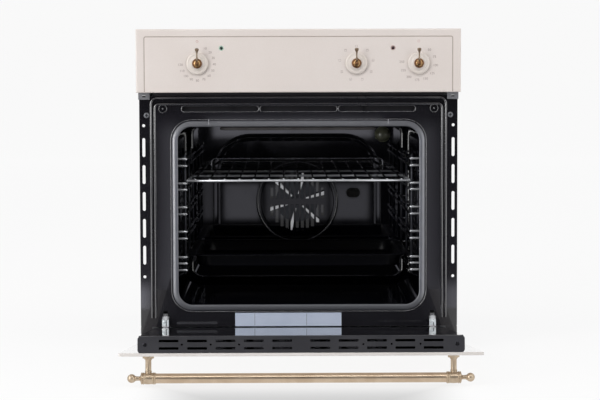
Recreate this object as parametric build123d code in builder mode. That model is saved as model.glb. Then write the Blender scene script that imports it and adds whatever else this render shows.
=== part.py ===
from build123d import *
import os
from math import cos, radians, sin, sqrt

# Built-in oven, in millimetres.
# X runs to the viewer's right, Y from the viewer into the cabinet, Z up.
# The origin is the middle of the base's front edge, in the plane of the black front frame.
# The door is drawn where it rests, dropped open on its hinge stops.

os.makedirs("parts", exist_ok=True)

# Overall sizes
oven_width = 595.0
oven_top = 595.0
carcass_width = 560.0
carcass_depth = 545.0
carcass_top = 577.0
sheet = 1.0
fit_gap = 0.3
wire_faces = 6
bead_slope = 30.0

# Control panel
fascia_height = 116.0
fascia_reach = 35.0
fascia_edge_radius = 2.5
line_side_inset = 14.6
line_top_inset = 13.3
line_width = 1.5
line_depth = 0.4
line_corner_radius = 3.0

# Front frame
frame_width = 589.0
frame_top = 473.0
frame_bottom = 43.5
frame_sheet = 1.2
frame_sill_depth = 20.0
hem_width = 12.0
hem_end_gap = 6.0
channel_outer_width = 546.0
channel_wall = 7.0
channel_top = 469.0
channel_bar = 11.5
channel_bottom = 60.0
channel_depth = 3.0
vent_length = 143.0
vent_height = 11.3
vent_pitch = 145.0
vent_z = 448.5
vent_count = 3
dimple_radius = 7.3
dimple_x = 251.0
dimple_depth = 0.5
rib_length = 78.0
rib_height = 5.0
rib_x = 188.0
rib_z = 50.5
rib_rise = 0.8
frame_corner = 2.0

# Cabinet fixing holes in the frame's side flanges
fixing_x = 286.5
fixing_low_z = 137.0
fixing_high_z = 418.0
fixing_radius = 2.75
flange_slot_length = 35.0
flange_slot_width = 5.4
flange_slot_pitch = 50.0
flange_slot_count = 5

# Cavity
cavity_width = 447.0
cavity_height = 331.0
cavity_z = 250.0
cavity_radius = 26.0
cavity_back_radius = 10.0
cavity_depth = 410.0
liner_sheet = 1.0
liner_flange = 13.0
gasket_width = 10.5
gasket_height = 2.5
gasket_nose = 1.2

# Fan, lamp and port in the back wall
fan_z = 249.0
well_radius = 80.0
well_depth = 36.0
cover_radius = 87.5
cover_inner_radius = 74.5
cover_rise = 4.0
cover_bead = 1.5
cover_sheet = 1.0
cover_slot_pitch = 10.5
cover_slot_width = 6.2
cover_slot_reach = 60.0
cover_bar = 13.0
cover_columns = 11
fan_blade_radius = 66.0
fan_disc_radius = 42.0
fan_blade_count = 8
fan_blade_depth = 20.0
fan_sheet = 1.2
fan_clearance = 4.0
shaft_radius = 3.0
shaft_hole_radius = 6.0
lamp_side_gap = 46.5
lamp_top_gap = 27.5
lamp_hole_radius = 14.5
lamp_radius = 16.5
lamp_rise = 12.0
lamp_bevel = 5.0
holder_flange_radius = 19.0
port_x = 116.0
port_z = 267.0
port_width = 28.0
port_height = 20.0
port_rim = 2.0

# Heating elements
element_radius = 3.25
element_bend = 18.0
top_element_drop = 15.0
grill_half_width = 95.0
roast_half_width = 145.0
element_front_y = 60.0
element_back_gap = 35.0
element_end_x = 24.0
grill_end_x = 8.0

# Side ladders and what they carry
guide_radius = 2.25
ladder_wire_radius = 2.5
guide_reach = 14.0
ladder_front_y = 45.0
ladder_back_gap = 38.0
ladder_weld = 0.8
ladder_upright_inset = 8.0
ladder_middle_y = 200.0
guide_heights = (354.0, 341.0, 308.0, 296.0, 263.0, 250.0, 217.0, 204.0, 169.0, 157.0, 144.5)
rack_guide_z = 308.0
tray_guide_z = 169.0
ladder_pin_heights = (150.0, 347.0)
ladder_pin_radius = 2.0
ladder_overrun = 8.0

# Wire rack
rack_side_play = 1.5
rack_front_y = 42.0
rack_back_gap = 25.0
rack_bar_radius = 2.5
rack_wire_radius = 1.7
rack_wire_count = 15
rack_wire_margin = 14.1
rack_guard_inset = 32.0
rack_guard_rise = 27.0
rack_guard_bend = 6.0
rack_guard_radius = 2.1
rack_cross_radius = 2.3

# Baking tray
tray_back_gap = 27.0
tray_front_y = 48.0
tray_depth = 24.0
tray_flange = 14.0
tray_sheet = 1.2
tray_corner = 18.0
tray_taper = 9.0
tray_floor_bevel = 4.0

# Door, measured in its own plane from the hinge pivot
pivot_y = -12.0
pivot_z = 35.0
open_angle = 84.2
door_gap_above = 4.0
door_heel_z = 12.0
door_seal_gap = 3.5
door_frame_width = 532.0
door_frame_thickness = 27.0
door_glass = 5.5
door_glass_bevel = 0.8
door_corner = 3.0
profile_width = 28.0
profile_wall = 1.2
cap_height = 26.0
cap_wall = 1.5
cap_corner = 5.0
cap_slot_length = 32.0
cap_slot_width = 4.0
cap_slot_pitch = 46.1
cap_centre_pitch = 61.8
cap_row_pitch = 12.0
cap_row_count = 2
cap_side_slots = 5
cap_hole_radius = 1.8
cap_hole_places = (101.0, 147.0, 194.0)
inner_glass = 4.0
middle_glass_gap = 9.0
glass_play = 0.2

# Door hinges
hinge_x = 248.0
hinge_pin_radius = 3.0
running_gap = 0.05
arm_width = 8.0
arm_eye_radius = 6.5
arm_eye_faces = 12
arm_top_z = 68.0
arm_tail_y = 22.0
receiver_wall = 2.0
receiver_bottom_z = 45.5
receiver_top_z = 74.0
receiver_lip = 3.0
hinge_slot_width = 15.0
hinge_slot_low = -14.0
hinge_slot_high = 48.0
hinge_channel_width = 16.0
hinge_channel_wall = 1.3
hinge_channel_low = -17.0
hinge_channel_high = 205.0
clip_width = 12.4
clip_sheet = 1.4
clip_rivet_y = -5.0
clip_rivet_z = 60.0
clip_rivet_radius = 1.8
clip_eye_radius = 3.4
clip_drop = 15.0
rod_radius = 2.5
rod_w = 8.0
rod_low = 56.0
spring_seat = 78.0
spring_length = 90.0
spring_radius = 5.3
rod_head_radius = 5.0
rod_head = 5.0

# Handle
handle_drop = 38.0
handle_reach = 37.7
handle_radius = 8.2
handle_collar_radius = 10.0
handle_collar_length = 24.5
handle_post_x = 251.0
handle_post_radius = 5.0
handle_flange_radius = 9.0
handle_flange_height = 4.0
finial_radius = 7.3
finial_reach = 278.4
finial_neck_radius = 3.6
collar_bevel = 1.2
turned_faces = 24

# Knobs: their distance from the middle of the panel
knob_places = {"timer": -185.0, "selector": 106.0, "thermostat": 220.0}
knob_z = 532.0
knob_gap = 1.0
skirt_radius = 20.0
skirt_height = 7.0
skirt_rim = 5.2
skirt_rim_bevel = 2.6
skirt_boss_radius = 13.0
skirt_boss_bevel = 1.4
hub_radius = 9.0
hub_height = 11.0
hub_rim = 5.5
hub_bevel = 2.5
hub_step_radius = 6.2
hub_step_bevel = 1.0
lever_reach = 24.0
lever_neck_radius = 1.9
lever_ball_radius = 3.75
spindle_radius = 3.0
spindle_hole_radius = 4.5
lamp_places = {"green": -141.0, "red": 173.0}
pilot_z = 560.0
pilot_radius = 3.25
pilot_rise = 1.6
pilot_flange = 1.0

# Inside the control panel
bracket_y = -13.0
bracket_low_z = 486.0
bracket_high_z = 585.0
unit_depth = 34.0
unit_width = 52.0
unit_height = 46.0

# Cooling blower over the cavity
rotor_radius = 27.0
rotor_length = 236.0
rotor_blades = 12
rotor_blade_chord = 7.0
rotor_y = 120.0
rotor_z = 515.0
blower_gap = 5.0
blower_outlet = 30.0
insulation_thickness = 24.0
element_gap = 12.0

# Derived places
half_carcass = carcass_width / 2
fascia_bottom = oven_top - fascia_height
fascia_front = -fascia_reach
cavity_bottom = cavity_z - cavity_height / 2
cavity_top = cavity_z + cavity_height / 2
lamp_x = cavity_width / 2 - lamp_side_gap
lamp_z = cavity_top - lamp_top_gap
element_back_y = cavity_depth - element_back_gap
guide_x = cavity_width / 2 - guide_reach
guide_end_x = cavity_width / 2 - fit_gap
ladder_wire_x = guide_x + guide_radius + ladder_wire_radius - ladder_weld
ladder_back_y = cavity_depth - ladder_back_gap
rack_half_width = guide_x - rack_side_play
rack_back_y = cavity_depth - rack_back_gap
rack_wire_pitch = 2 * (rack_half_width - rack_wire_margin) / (rack_wire_count - 1)
rack_guard_x = rack_half_width - rack_guard_inset
tray_width = 2 * guide_x
tray_length = cavity_depth - tray_front_y - tray_back_gap
liner_half = cavity_width / 2 + liner_sheet
liner_back = cavity_depth + liner_sheet
insulation_top = cavity_top + liner_sheet + insulation_thickness
lean = radians(open_angle)
door_top = fascia_bottom - door_gap_above - pivot_z
door_heel = door_heel_z - pivot_z
door_inside = pivot_y + door_seal_gap
door_outside = door_inside + door_frame_thickness + door_glass
panel_back = door_outside - door_glass
profile_inner_x = door_frame_width / 2 - profile_width


def front_plane(y):
    """A plane facing the viewer at depth y, with X across and Z up."""
    return Plane.XZ.offset(-y)


def door_plane(height):
    """A plane of the open door, with X across and its second axis towards the door's top edge.

    The height is counted from the pivot towards the outer face.
    """
    tilted = Plane(origin=(0, pivot_y, pivot_z), x_dir=(1, 0, 0), z_dir=(0, -cos(lean), -sin(lean)))
    return tilted.offset(height)


def door_edge_plane(along):
    """A plane square to the open door's length, with X across and its second axis inwards."""
    base = Plane(origin=(0, pivot_y, pivot_z), x_dir=(1, 0, 0), z_dir=(0, -sin(lean), cos(lean)))
    return base.offset(along)


def door_side_plane(x):
    """A plane across the open door: its first axis runs to the top edge, its second outwards."""
    return Plane(origin=(x, pivot_y, pivot_z), x_dir=(0, -sin(lean), cos(lean)), z_dir=(1, 0, 0))


def bent_wire(points, wire_radius):
    """A wire along straight runs with mitred bends, drawn with few faces because it repeats."""
    with BuildPart() as wire:
        with BuildLine():
            route = Polyline(*points)
        with BuildSketch(Plane(origin=route @ 0, z_dir=route % 0)):
            RegularPolygon(wire_radius, wire_faces, rotation=180 / wire_faces)
        sweep(transition=Transition.RIGHT)
    return wire.part


# Base panel: the pan that the oven stands on, with a riser set back behind the door's heel
base_upturn = 18.0
base_bead_length = 380.0
base_bead_width = 16.0
base_bead_height = 3.0
base_bead_pitch = 120.0
base_bead_count = 3

with BuildPart() as base_panel:
    with BuildSketch(Plane.XY):
        with Locations((0, carcass_depth / 2)):
            Rectangle(carcass_width - 2 * sheet, carcass_depth)
    extrude(amount=sheet)
    with BuildSketch(Plane.XY.offset(sheet)):
        with Locations((0, carcass_depth / 2)):
            with GridLocations(1, base_bead_pitch, 1, base_bead_count):
                Rectangle(base_bead_length, base_bead_width)
    extrude(amount=base_bead_height, taper=bead_slope)
    with BuildSketch(front_plane(frame_sill_depth)):
        with Locations((0, frame_bottom / 2)):
            Rectangle(carcass_width - 2 * sheet, frame_bottom)
    extrude(amount=-sheet)
    with BuildSketch(Plane.XY):
        upturn_length = carcass_depth - frame_sill_depth
        with Locations((0, frame_sill_depth + upturn_length / 2)):
            Rectangle(carcass_width - 2 * sheet, upturn_length)
            Rectangle(carcass_width - 4 * sheet, upturn_length, mode=Mode.SUBTRACT)
    extrude(amount=base_upturn)
base_panel.part.label = "base_panel"
export_step(base_panel.part, "parts/base_panel.step")

# Front frame: one pressing with the cabinet flanges, the drip channel, the vents and the hinge pockets
channel_half = channel_outer_width / 2
channel_inner_half = channel_half - channel_wall
channel_inner_top = channel_top - channel_bar
channel_corner = 12.0
channel_inner_corner = 8.0
receiver_half = arm_width / 2 + receiver_wall
receiver_back = arm_tail_y + receiver_wall


def channel_outline(half_width, top, bottom, corner):
    """A tall panel outline with its two top corners rounded."""
    with BuildSketch() as outline:
        with Locations((0, (top + bottom) / 2)):
            Rectangle(2 * half_width, top - bottom)
        fillet(outline.vertices().group_by(Axis.Y)[-1], corner)
    return outline.sketch


with BuildSketch() as flange_slot_outline:
    Rectangle(flange_slot_width, flange_slot_length)
    chamfer(flange_slot_outline.vertices(), flange_slot_width / 3)
flange_slot = flange_slot_outline.sketch

channel_back_outer = channel_outline(
    channel_half + frame_sheet, channel_top + frame_sheet, channel_bottom - frame_sheet, channel_corner)
channel_back_inner = channel_outline(
    channel_inner_half - frame_sheet, channel_inner_top - frame_sheet, channel_bottom - frame_sheet,
    channel_inner_corner)
channel_front_outer = channel_outline(channel_half, channel_top, channel_bottom, channel_corner)
channel_front_inner = channel_outline(
    channel_inner_half, channel_inner_top, channel_bottom, channel_inner_corner)

with BuildPart() as front_frame:
    with BuildSketch(front_plane(0)):
        with Locations((0, (frame_top + frame_bottom) / 2)):
            RectangleRounded(frame_width, frame_top - frame_bottom, frame_corner)
        with Locations((0, cavity_z)):
            RectangleRounded(cavity_width, cavity_height, cavity_radius, mode=Mode.SUBTRACT)
    extrude(amount=-frame_sheet)
    with BuildSketch(front_plane(frame_sheet)):
        for side in (-1, 1):
            with Locations((side * (frame_width - hem_width) / 2, (frame_top + frame_bottom) / 2)):
                Rectangle(hem_width, frame_top - frame_bottom - 2 * hem_end_gap)
    extrude(amount=-frame_sheet)
    with BuildSketch(front_plane(0)):
        add(channel_back_outer)
        add(channel_back_inner, mode=Mode.SUBTRACT)
    extrude(amount=-(channel_depth + frame_sheet))
    with BuildSketch(front_plane(0)):
        add(channel_front_outer)
        add(channel_front_inner, mode=Mode.SUBTRACT)
    extrude(amount=-channel_depth, mode=Mode.SUBTRACT)
    with BuildSketch(front_plane(0)):
        with Locations((-rib_x, rib_z), (rib_x, rib_z)):
            SlotOverall(rib_length, rib_height)
    extrude(amount=rib_rise)
    with BuildSketch(front_plane(0)):
        with Locations((0, vent_z)):
            with GridLocations(vent_pitch, 1, vent_count, 1):
                SlotOverall(vent_length, vent_height)
        for side in (-1, 1):
            with Locations((side * fixing_x, fixing_low_z), (side * fixing_x, fixing_high_z)):
                Circle(fixing_radius)
            with Locations((side * fixing_x, (fixing_low_z + fixing_high_z) / 2)):
                with GridLocations(1, flange_slot_pitch, 1, flange_slot_count):
                    add(flange_slot)
            with Locations((side * hinge_x, (receiver_bottom_z + receiver_top_z) / 2)):
                Rectangle(arm_width, receiver_top_z - receiver_bottom_z - receiver_lip)
    extrude(amount=-2 * frame_sheet, mode=Mode.SUBTRACT)
    with BuildSketch(front_plane(0)):
        with Locations((-dimple_x, vent_z), (dimple_x, vent_z)):
            Circle(dimple_radius)
    extrude(amount=-dimple_depth, mode=Mode.SUBTRACT)
    with BuildSketch(Plane.XY.offset(frame_bottom)):
        with Locations((0, (frame_sheet + frame_sill_depth + sheet) / 2)):
            Rectangle(carcass_width - 2 * sheet, frame_sill_depth + sheet - frame_sheet)
    extrude(amount=frame_sheet)
    for side in (-1, 1):
        with BuildSketch(Plane.XY.offset(receiver_bottom_z - frame_sheet)):
            with Locations((side * hinge_x, (frame_sheet + receiver_back) / 2)):
                Rectangle(2 * receiver_half, receiver_back - frame_sheet)
            with Locations((side * hinge_x, (frame_sheet + arm_tail_y) / 2)):
                Rectangle(arm_width, arm_tail_y - frame_sheet, mode=Mode.SUBTRACT)
        extrude(amount=receiver_top_z - receiver_bottom_z)
front_frame.part.label = "front_frame"
export_step(front_frame.part, "parts/front_frame.step")

# Side panels: galvanised sheets notched below the frame, with louvres for the cooling air
louvre_length = 60.0
louvre_width = 6.0
louvre_pitch = 14.0
louvre_count = 7
louvre_y = 455.0
louvre_z = 505.0
brace_bead_length = 300.0
brace_bead_width = 18.0
brace_bead_height = 1.5
brace_bead_pitch = 130.0
brace_bead_count = 3
brace_bead_y = 267.5

with BuildPart() as side_panel_right:
    with BuildSketch(Plane.YZ.offset(half_carcass - sheet)):
        with BuildLine():
            Polyline(
                (frame_sheet, frame_bottom + frame_sheet),
                (frame_sill_depth, frame_bottom + frame_sheet),
                (frame_sill_depth, sheet),
                (carcass_depth, sheet),
                (carcass_depth, carcass_top - sheet),
                (frame_sheet, carcass_top - sheet),
                close=True,
            )
        make_face()
    extrude(amount=sheet)
    with BuildSketch(Plane.YZ.offset(half_carcass)):
        with Locations((brace_bead_y, cavity_z)):
            with GridLocations(1, brace_bead_pitch, 1, brace_bead_count):
                Rectangle(brace_bead_length, brace_bead_width)
    extrude(amount=brace_bead_height, taper=bead_slope)
    with BuildSketch(Plane.YZ.offset(half_carcass - sheet)):
        with Locations((louvre_y, louvre_z)):
            with GridLocations(1, louvre_pitch, 1, louvre_count):
                Rectangle(louvre_length, louvre_width)
    extrude(amount=sheet, mode=Mode.SUBTRACT)
side_panel_right.part.label = "side_panel_right"
export_step(side_panel_right.part, "parts/side_panel_right.step")

with BuildPart() as side_panel_left:
    mirror(side_panel_right.part, about=Plane.YZ)
side_panel_left.part.label = "side_panel_left"
export_step(side_panel_left.part, "parts/side_panel_left.step")

# Top cover: a lid with turned-down edges and rows of air slots over the blower
lid_turndown = 12.0
lid_slot_length = 70.0
lid_slot_width = 6.0
lid_slot_pitch_x = 85.0
lid_slot_pitch_y = 14.0
lid_slot_columns = 3
lid_slot_rows = 5

with BuildPart() as top_cover:
    with BuildSketch(Plane.XY.offset(carcass_top - sheet)):
        with Locations((0, (frame_sheet + carcass_depth) / 2)):
            Rectangle(carcass_width, carcass_depth - frame_sheet)
    extrude(amount=sheet)
    with BuildSketch(Plane.XY.offset(carcass_top - sheet)):
        with Locations((0, (frame_sheet + carcass_depth) / 2)):
            Rectangle(carcass_width - 2 * sheet, carcass_depth - frame_sheet)
            Rectangle(carcass_width - 4 * sheet, carcass_depth - frame_sheet, mode=Mode.SUBTRACT)
    extrude(amount=-lid_turndown)
    with BuildSketch(Plane.XY.offset(carcass_top - sheet)):
        with Locations((0, rotor_y)):
            with GridLocations(lid_slot_pitch_x, lid_slot_pitch_y, lid_slot_columns, lid_slot_rows):
                Rectangle(lid_slot_length, lid_slot_width)
    extrude(amount=sheet, mode=Mode.SUBTRACT)
top_cover.part.label = "top_cover"
export_step(top_cover.part, "parts/top_cover.step")

# Rear panel: a grille of slots behind the fan motor and a hole for the mains terminals
grille_slot_length = 46.0
grille_slot_width = 6.0
grille_pitch_x = 56.0
grille_pitch_z = 13.0
grille_columns = 3
grille_low_rows = 7
grille_high_rows = 3
terminal_x = -190.0
terminal_z = 500.0
terminal_width = 84.0
terminal_height = 60.0
terminal_depth = 26.0
terminal_window = 12.0
terminal_bevel = 3.0

with BuildPart() as rear_panel:
    with BuildSketch(front_plane(carcass_depth - sheet)):
        with Locations((0, (carcass_top) / 2)):
            Rectangle(carcass_width - 4 * sheet, carcass_top - 2 * sheet - base_bead_height)
        with Locations((0, fan_z)):
            with GridLocations(grille_pitch_x, grille_pitch_z, grille_columns, grille_low_rows):
                Rectangle(grille_slot_length, grille_slot_width, mode=Mode.SUBTRACT)
        with Locations((0, 2 * fan_z)):
            with GridLocations(grille_pitch_x, grille_pitch_z, grille_columns, grille_high_rows):
                Rectangle(grille_slot_length, grille_slot_width, mode=Mode.SUBTRACT)
        with Locations((terminal_x, terminal_z)):
            Rectangle(
                terminal_width - 2 * terminal_window, terminal_height - 2 * terminal_window,
                mode=Mode.SUBTRACT)
    extrude(amount=-sheet)
rear_panel.part.label = "rear_panel"
export_step(rear_panel.part, "parts/rear_panel.step")

# Cavity liner: the enamelled muffle, with its front flange, the fan well and the ports in its back
with BuildPart() as cavity_hollow:
    with BuildSketch(front_plane(0)):
        with Locations((0, cavity_z)):
            RectangleRounded(cavity_width, cavity_height, cavity_radius)
    extrude(amount=-cavity_depth)
    fillet(cavity_hollow.faces().sort_by(Axis.Y)[-1].edges(), cavity_back_radius)
    with BuildSketch(front_plane(cavity_depth)):
        with Locations((0, fan_z)):
            Circle(well_radius)
    extrude(amount=-well_depth)

with BuildPart() as cavity_liner:
    with BuildSketch(front_plane(frame_sheet)):
        with Locations((0, cavity_z)):
            RectangleRounded(
                cavity_width + 2 * liner_sheet, cavity_height + 2 * liner_sheet,
                cavity_radius + liner_sheet)
    extrude(amount=-(liner_back - frame_sheet))
    chamfer(cavity_liner.faces().sort_by(Axis.Y)[-1].edges(), cavity_back_radius / 2)
    with BuildSketch(front_plane(cavity_depth)):
        with Locations((0, fan_z)):
            Circle(well_radius + liner_sheet)
    extrude(amount=-(well_depth + liner_sheet))
    add(cavity_hollow.part, mode=Mode.SUBTRACT)
    with BuildSketch(front_plane(frame_sheet)):
        with Locations((0, cavity_z)):
            RectangleRounded(
                cavity_width + 2 * liner_flange, cavity_height + 2 * liner_flange,
                cavity_radius + liner_flange)
            RectangleRounded(cavity_width, cavity_height, cavity_radius, mode=Mode.SUBTRACT)
    extrude(amount=-liner_sheet)
    with BuildSketch(front_plane(cavity_depth)):
        with Locations((port_x, port_z)):
            SlotOverall(port_width + 2 * port_rim, port_height + 2 * port_rim)
    extrude(amount=port_rim)
    with BuildSketch(front_plane(cavity_depth - port_rim)):
        with Locations((port_x, port_z)):
            SlotOverall(port_width, port_height)
        with Locations((lamp_x, lamp_z)):
            Circle(lamp_hole_radius)
        with Locations((0, fan_z)):
            Circle(shaft_hole_radius)
    extrude(amount=-(well_depth + 2 * port_rim), mode=Mode.SUBTRACT)
cavity_liner.part.label = "cavity_liner"
export_step(cavity_liner.part, "parts/cavity_liner.step")

# Insulation: a blanket round the liner, kept off the bottom heater
blanket_back = liner_back + insulation_thickness
blanket_front = receiver_back + sheet
blanket_bottom = cavity_bottom - liner_sheet - element_gap

with BuildPart() as insulation:
    with BuildSketch(front_plane(blanket_front)):
        blanket_top_z = cavity_top + liner_sheet + insulation_thickness
        blanket_low_z = blanket_bottom - insulation_thickness
        with Locations((0, (blanket_top_z + blanket_low_z) / 2)):
            Rectangle(
                2 * (liner_half + insulation_thickness), blanket_top_z - blanket_low_z)
    extrude(amount=-(blanket_back - blanket_front))
    with BuildSketch(front_plane(0)):
        with Locations((0, (cavity_top + liner_sheet + blanket_bottom) / 2)):
            Rectangle(2 * liner_half, cavity_top + liner_sheet - blanket_bottom)
    extrude(amount=-liner_back, mode=Mode.SUBTRACT)
    with BuildSketch(front_plane(0)):
        with Locations((0, fan_z)):
            Circle(well_radius + liner_sheet + fit_gap)
        with Locations((lamp_x, lamp_z)):
            Circle(holder_flange_radius + fit_gap)
    extrude(amount=-blanket_back, mode=Mode.SUBTRACT)
insulation.part.label = "insulation"
export_step(insulation.part, "parts/insulation.step")

# Cavity gasket: the soft lip that the closed door meets
with BuildPart() as cavity_gasket:
    with BuildSketch(front_plane(0)):
        with Locations((0, cavity_z)):
            RectangleRounded(
                cavity_width + 2 * gasket_width, cavity_height + 2 * gasket_width,
                cavity_radius + gasket_width)
            RectangleRounded(cavity_width, cavity_height, cavity_radius, mode=Mode.SUBTRACT)
    extrude(amount=gasket_height)
    chamfer(cavity_gasket.faces().sort_by(Axis.Y)[0].edges(), gasket_nose)
cavity_gasket.part.label = "cavity_gasket"
export_step(cavity_gasket.part, "parts/cavity_gasket.step")

# Rating plate: a plain strip under the cavity
plate_left = -119.0
plate_right = 79.0
plate_bottom = 44.0
plate_top = 69.0
plate_sheet = 0.4
plate_corner = 1.0

with BuildPart() as rating_plate:
    with BuildSketch(front_plane(0)):
        with Locations(((plate_left + plate_right) / 2, (plate_bottom + plate_top) / 2)):
            RectangleRounded(plate_right - plate_left, plate_top - plate_bottom, plate_corner)
    extrude(amount=plate_sheet)
rating_plate.part.label = "rating_plate"
export_step(rating_plate.part, "parts/rating_plate.step")

# Fan cover: a dished disc with columns of slots above and below a middle bar
cover_faces = 48

with BuildPart() as fan_cover:
    with BuildSketch(front_plane(cavity_depth)):
        with Locations((0, fan_z)):
            RegularPolygon(cover_radius, cover_faces)
    extrude(amount=cover_sheet)
    with BuildSketch(front_plane(cavity_depth)):
        with Locations((0, fan_z)):
            RegularPolygon(cover_inner_radius + cover_bead, cover_faces)
    extrude(amount=cover_rise + cover_sheet)
    chamfer(fan_cover.faces().sort_by(Axis.Y)[0].edges(), cover_bead)
    with BuildSketch(front_plane(cavity_depth)):
        with Locations((0, fan_z)):
            RegularPolygon(cover_inner_radius, cover_faces)
    extrude(amount=cover_rise, mode=Mode.SUBTRACT)
    with BuildSketch(front_plane(cavity_depth - cover_rise - cover_sheet)):
        for column in range(cover_columns):
            slot_x = (column - (cover_columns - 1) / 2) * cover_slot_pitch
            slot_top = sqrt(cover_slot_reach**2 - slot_x**2)
            slot_length = slot_top - cover_bar / 2
            slot_middle = (slot_top + cover_bar / 2) / 2
            with Locations((slot_x, fan_z + slot_middle), (slot_x, fan_z - slot_middle)):
                Rectangle(cover_slot_width, slot_length)
    extrude(amount=-4 * cover_sheet, mode=Mode.SUBTRACT)
fan_cover.part.label = "fan_cover"
export_step(fan_cover.part, "parts/fan_cover.step")

# Convection fan: radial paddles folded up from a disc, on a boss
fan_back_y = cavity_depth + well_depth - fan_clearance
boss_radius = 8.0
paddle_root_radius = 12.0

with BuildPart() as fan_blade:
    with BuildSketch(front_plane(fan_back_y)):
        with Locations((0, fan_z)):
            Circle(fan_disc_radius)
    extrude(amount=fan_sheet)
    with BuildSketch(front_plane(fan_back_y)):
        with Locations((0, fan_z)):
            with PolarLocations((fan_blade_radius + paddle_root_radius) / 2, fan_blade_count):
                Rectangle(fan_blade_radius - paddle_root_radius, fan_sheet)
    extrude(amount=fan_blade_depth)
    with BuildSketch(front_plane(fan_back_y)):
        with Locations((0, fan_z)):
            Circle(boss_radius)
    extrude(amount=fan_blade_depth / 2)
    with BuildSketch(front_plane(fan_back_y)):
        with Locations((0, fan_z)):
            Circle(shaft_radius)
    extrude(amount=fan_blade_depth / 2, mode=Mode.SUBTRACT)
fan_blade.part.label = "fan_blade"
export_step(fan_blade.part, "parts/fan_blade.step")

# Fan shaft, from the boss through the well into the motor, with its nut at the front
leg_length = 22.0
shaft_tail = 34.0
motor_front_y = cavity_depth + well_depth + liner_sheet + leg_length
shaft_back_y = motor_front_y + shaft_tail
nut_radius = 5.0
nut_height = 5.0
nut_faces = 6

with BuildPart() as fan_shaft:
    with BuildSketch(front_plane(shaft_back_y)):
        with Locations((0, fan_z)):
            Circle(shaft_radius)
    extrude(amount=shaft_back_y - fan_back_y + fan_blade_depth / 2)
    with BuildSketch(front_plane(fan_back_y - fan_blade_depth / 2)):
        with Locations((0, fan_z)):
            RegularPolygon(nut_radius, nut_faces)
    extrude(amount=nut_height)
fan_shaft.part.label = "fan_shaft"
export_step(fan_shaft.part, "parts/fan_shaft.step")

# Fan motor: a laminated stack with its coil, on a three-legged bracket against the well
stack_width = 62.0
stack_height = 52.0
stack_depth = 24.0
coil_width = 34.0
coil_height = 26.0
leg_radius = 4.0
leg_spread = 34.0
leg_bar_width = 16.0
leg_bar_margin = 7.0
leg_bar_sheet = 2.0
leg_faces = 6

with BuildPart() as fan_motor:
    with BuildSketch(front_plane(motor_front_y)):
        with Locations((0, fan_z)):
            Rectangle(2 * (leg_spread + leg_bar_margin), leg_bar_width)
        with Locations((0, fan_z - leg_spread / 2)):
            Rectangle(leg_bar_width, leg_spread + leg_bar_width)
    extrude(amount=-leg_bar_sheet)
    with BuildSketch(front_plane(motor_front_y)):
        with Locations((-leg_spread, fan_z), (leg_spread, fan_z), (0, fan_z - leg_spread)):
            RegularPolygon(leg_radius, leg_faces)
    extrude(amount=motor_front_y - (cavity_depth + well_depth + liner_sheet))
    with BuildSketch(front_plane(motor_front_y + leg_bar_sheet)):
        with Locations((0, fan_z)):
            Rectangle(stack_width, stack_height)
    extrude(amount=-stack_depth)
    with BuildSketch(front_plane(motor_front_y + leg_bar_sheet)):
        with Locations((0, fan_z + stack_height / 2 + coil_height / 2)):
            Rectangle(coil_width, coil_height)
    extrude(amount=-stack_depth)
    with BuildSketch(front_plane(motor_front_y)):
        with Locations((0, fan_z)):
            Circle(shaft_radius + running_gap)
    extrude(amount=-(stack_depth + 2 * leg_bar_sheet), mode=Mode.SUBTRACT)
fan_motor.part.label = "fan_motor"
export_step(fan_motor.part, "parts/fan_motor.step")

# Oven lamp: a domed glass in the back wall, its holder behind and the bulb inside
lamp_wall = 1.8
lamp_faces = 24
bulb_radius = 9.0
bulb_gap = 4.0
bulb_play = 1.0
holder_depth = 40.0
holder_faces = 16

with BuildPart() as oven_lamp_glass:
    with BuildSketch(front_plane(cavity_depth)):
        with Locations((lamp_x, lamp_z)):
            RegularPolygon(lamp_radius, lamp_faces)
    extrude(amount=lamp_rise)
    chamfer(oven_lamp_glass.faces().sort_by(Axis.Y)[0].edges(), lamp_bevel)
    with BuildSketch(front_plane(cavity_depth)):
        with Locations((lamp_x, lamp_z)):
            RegularPolygon(lamp_radius - 2 * lamp_wall, holder_faces)
    extrude(amount=lamp_rise - 2 * lamp_wall, mode=Mode.SUBTRACT)
oven_lamp_glass.part.label = "oven_lamp_glass"
export_step(oven_lamp_glass.part, "parts/oven_lamp_glass.step")

holder_radius = lamp_hole_radius - running_gap
holder_flange = 3.0

with BuildPart() as oven_lamp_holder:
    with BuildSketch(front_plane(cavity_depth)):
        with Locations((lamp_x, lamp_z)):
            RegularPolygon(holder_radius, holder_faces)
    extrude(amount=-holder_depth)
    with BuildSketch(front_plane(liner_back)):
        with Locations((lamp_x, lamp_z)):
            RegularPolygon(holder_flange_radius, holder_faces)
    extrude(amount=-holder_flange)
    with BuildSketch(front_plane(cavity_depth)):
        with Locations((lamp_x, lamp_z)):
            RegularPolygon(bulb_radius + bulb_play, holder_faces)
    extrude(amount=holder_flange - holder_depth, mode=Mode.SUBTRACT)
oven_lamp_holder.part.label = "oven_lamp_holder"
export_step(oven_lamp_holder.part, "parts/oven_lamp_holder.step")

bulb_front = cavity_depth - lamp_rise + bulb_gap
bulb_back = cavity_depth + holder_depth - holder_flange
bulb_length = 20.0

with BuildPart() as oven_lamp_bulb:
    with BuildSketch(front_plane(bulb_front)):
        with Locations((lamp_x, lamp_z)):
            RegularPolygon(bulb_radius, holder_faces)
    extrude(amount=-bulb_length)
    chamfer(oven_lamp_bulb.edges().filter_by(Axis.Y, reverse=True), bulb_radius / 3)
    with BuildSketch(front_plane(bulb_front + bulb_length)):
        with Locations((lamp_x, lamp_z)):
            RegularPolygon(bulb_radius / 2, holder_faces)
    extrude(amount=bulb_front + bulb_length - bulb_back)
oven_lamp_bulb.part.label = "oven_lamp_bulb"
export_step(oven_lamp_bulb.part, "parts/oven_lamp_bulb.step")

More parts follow.
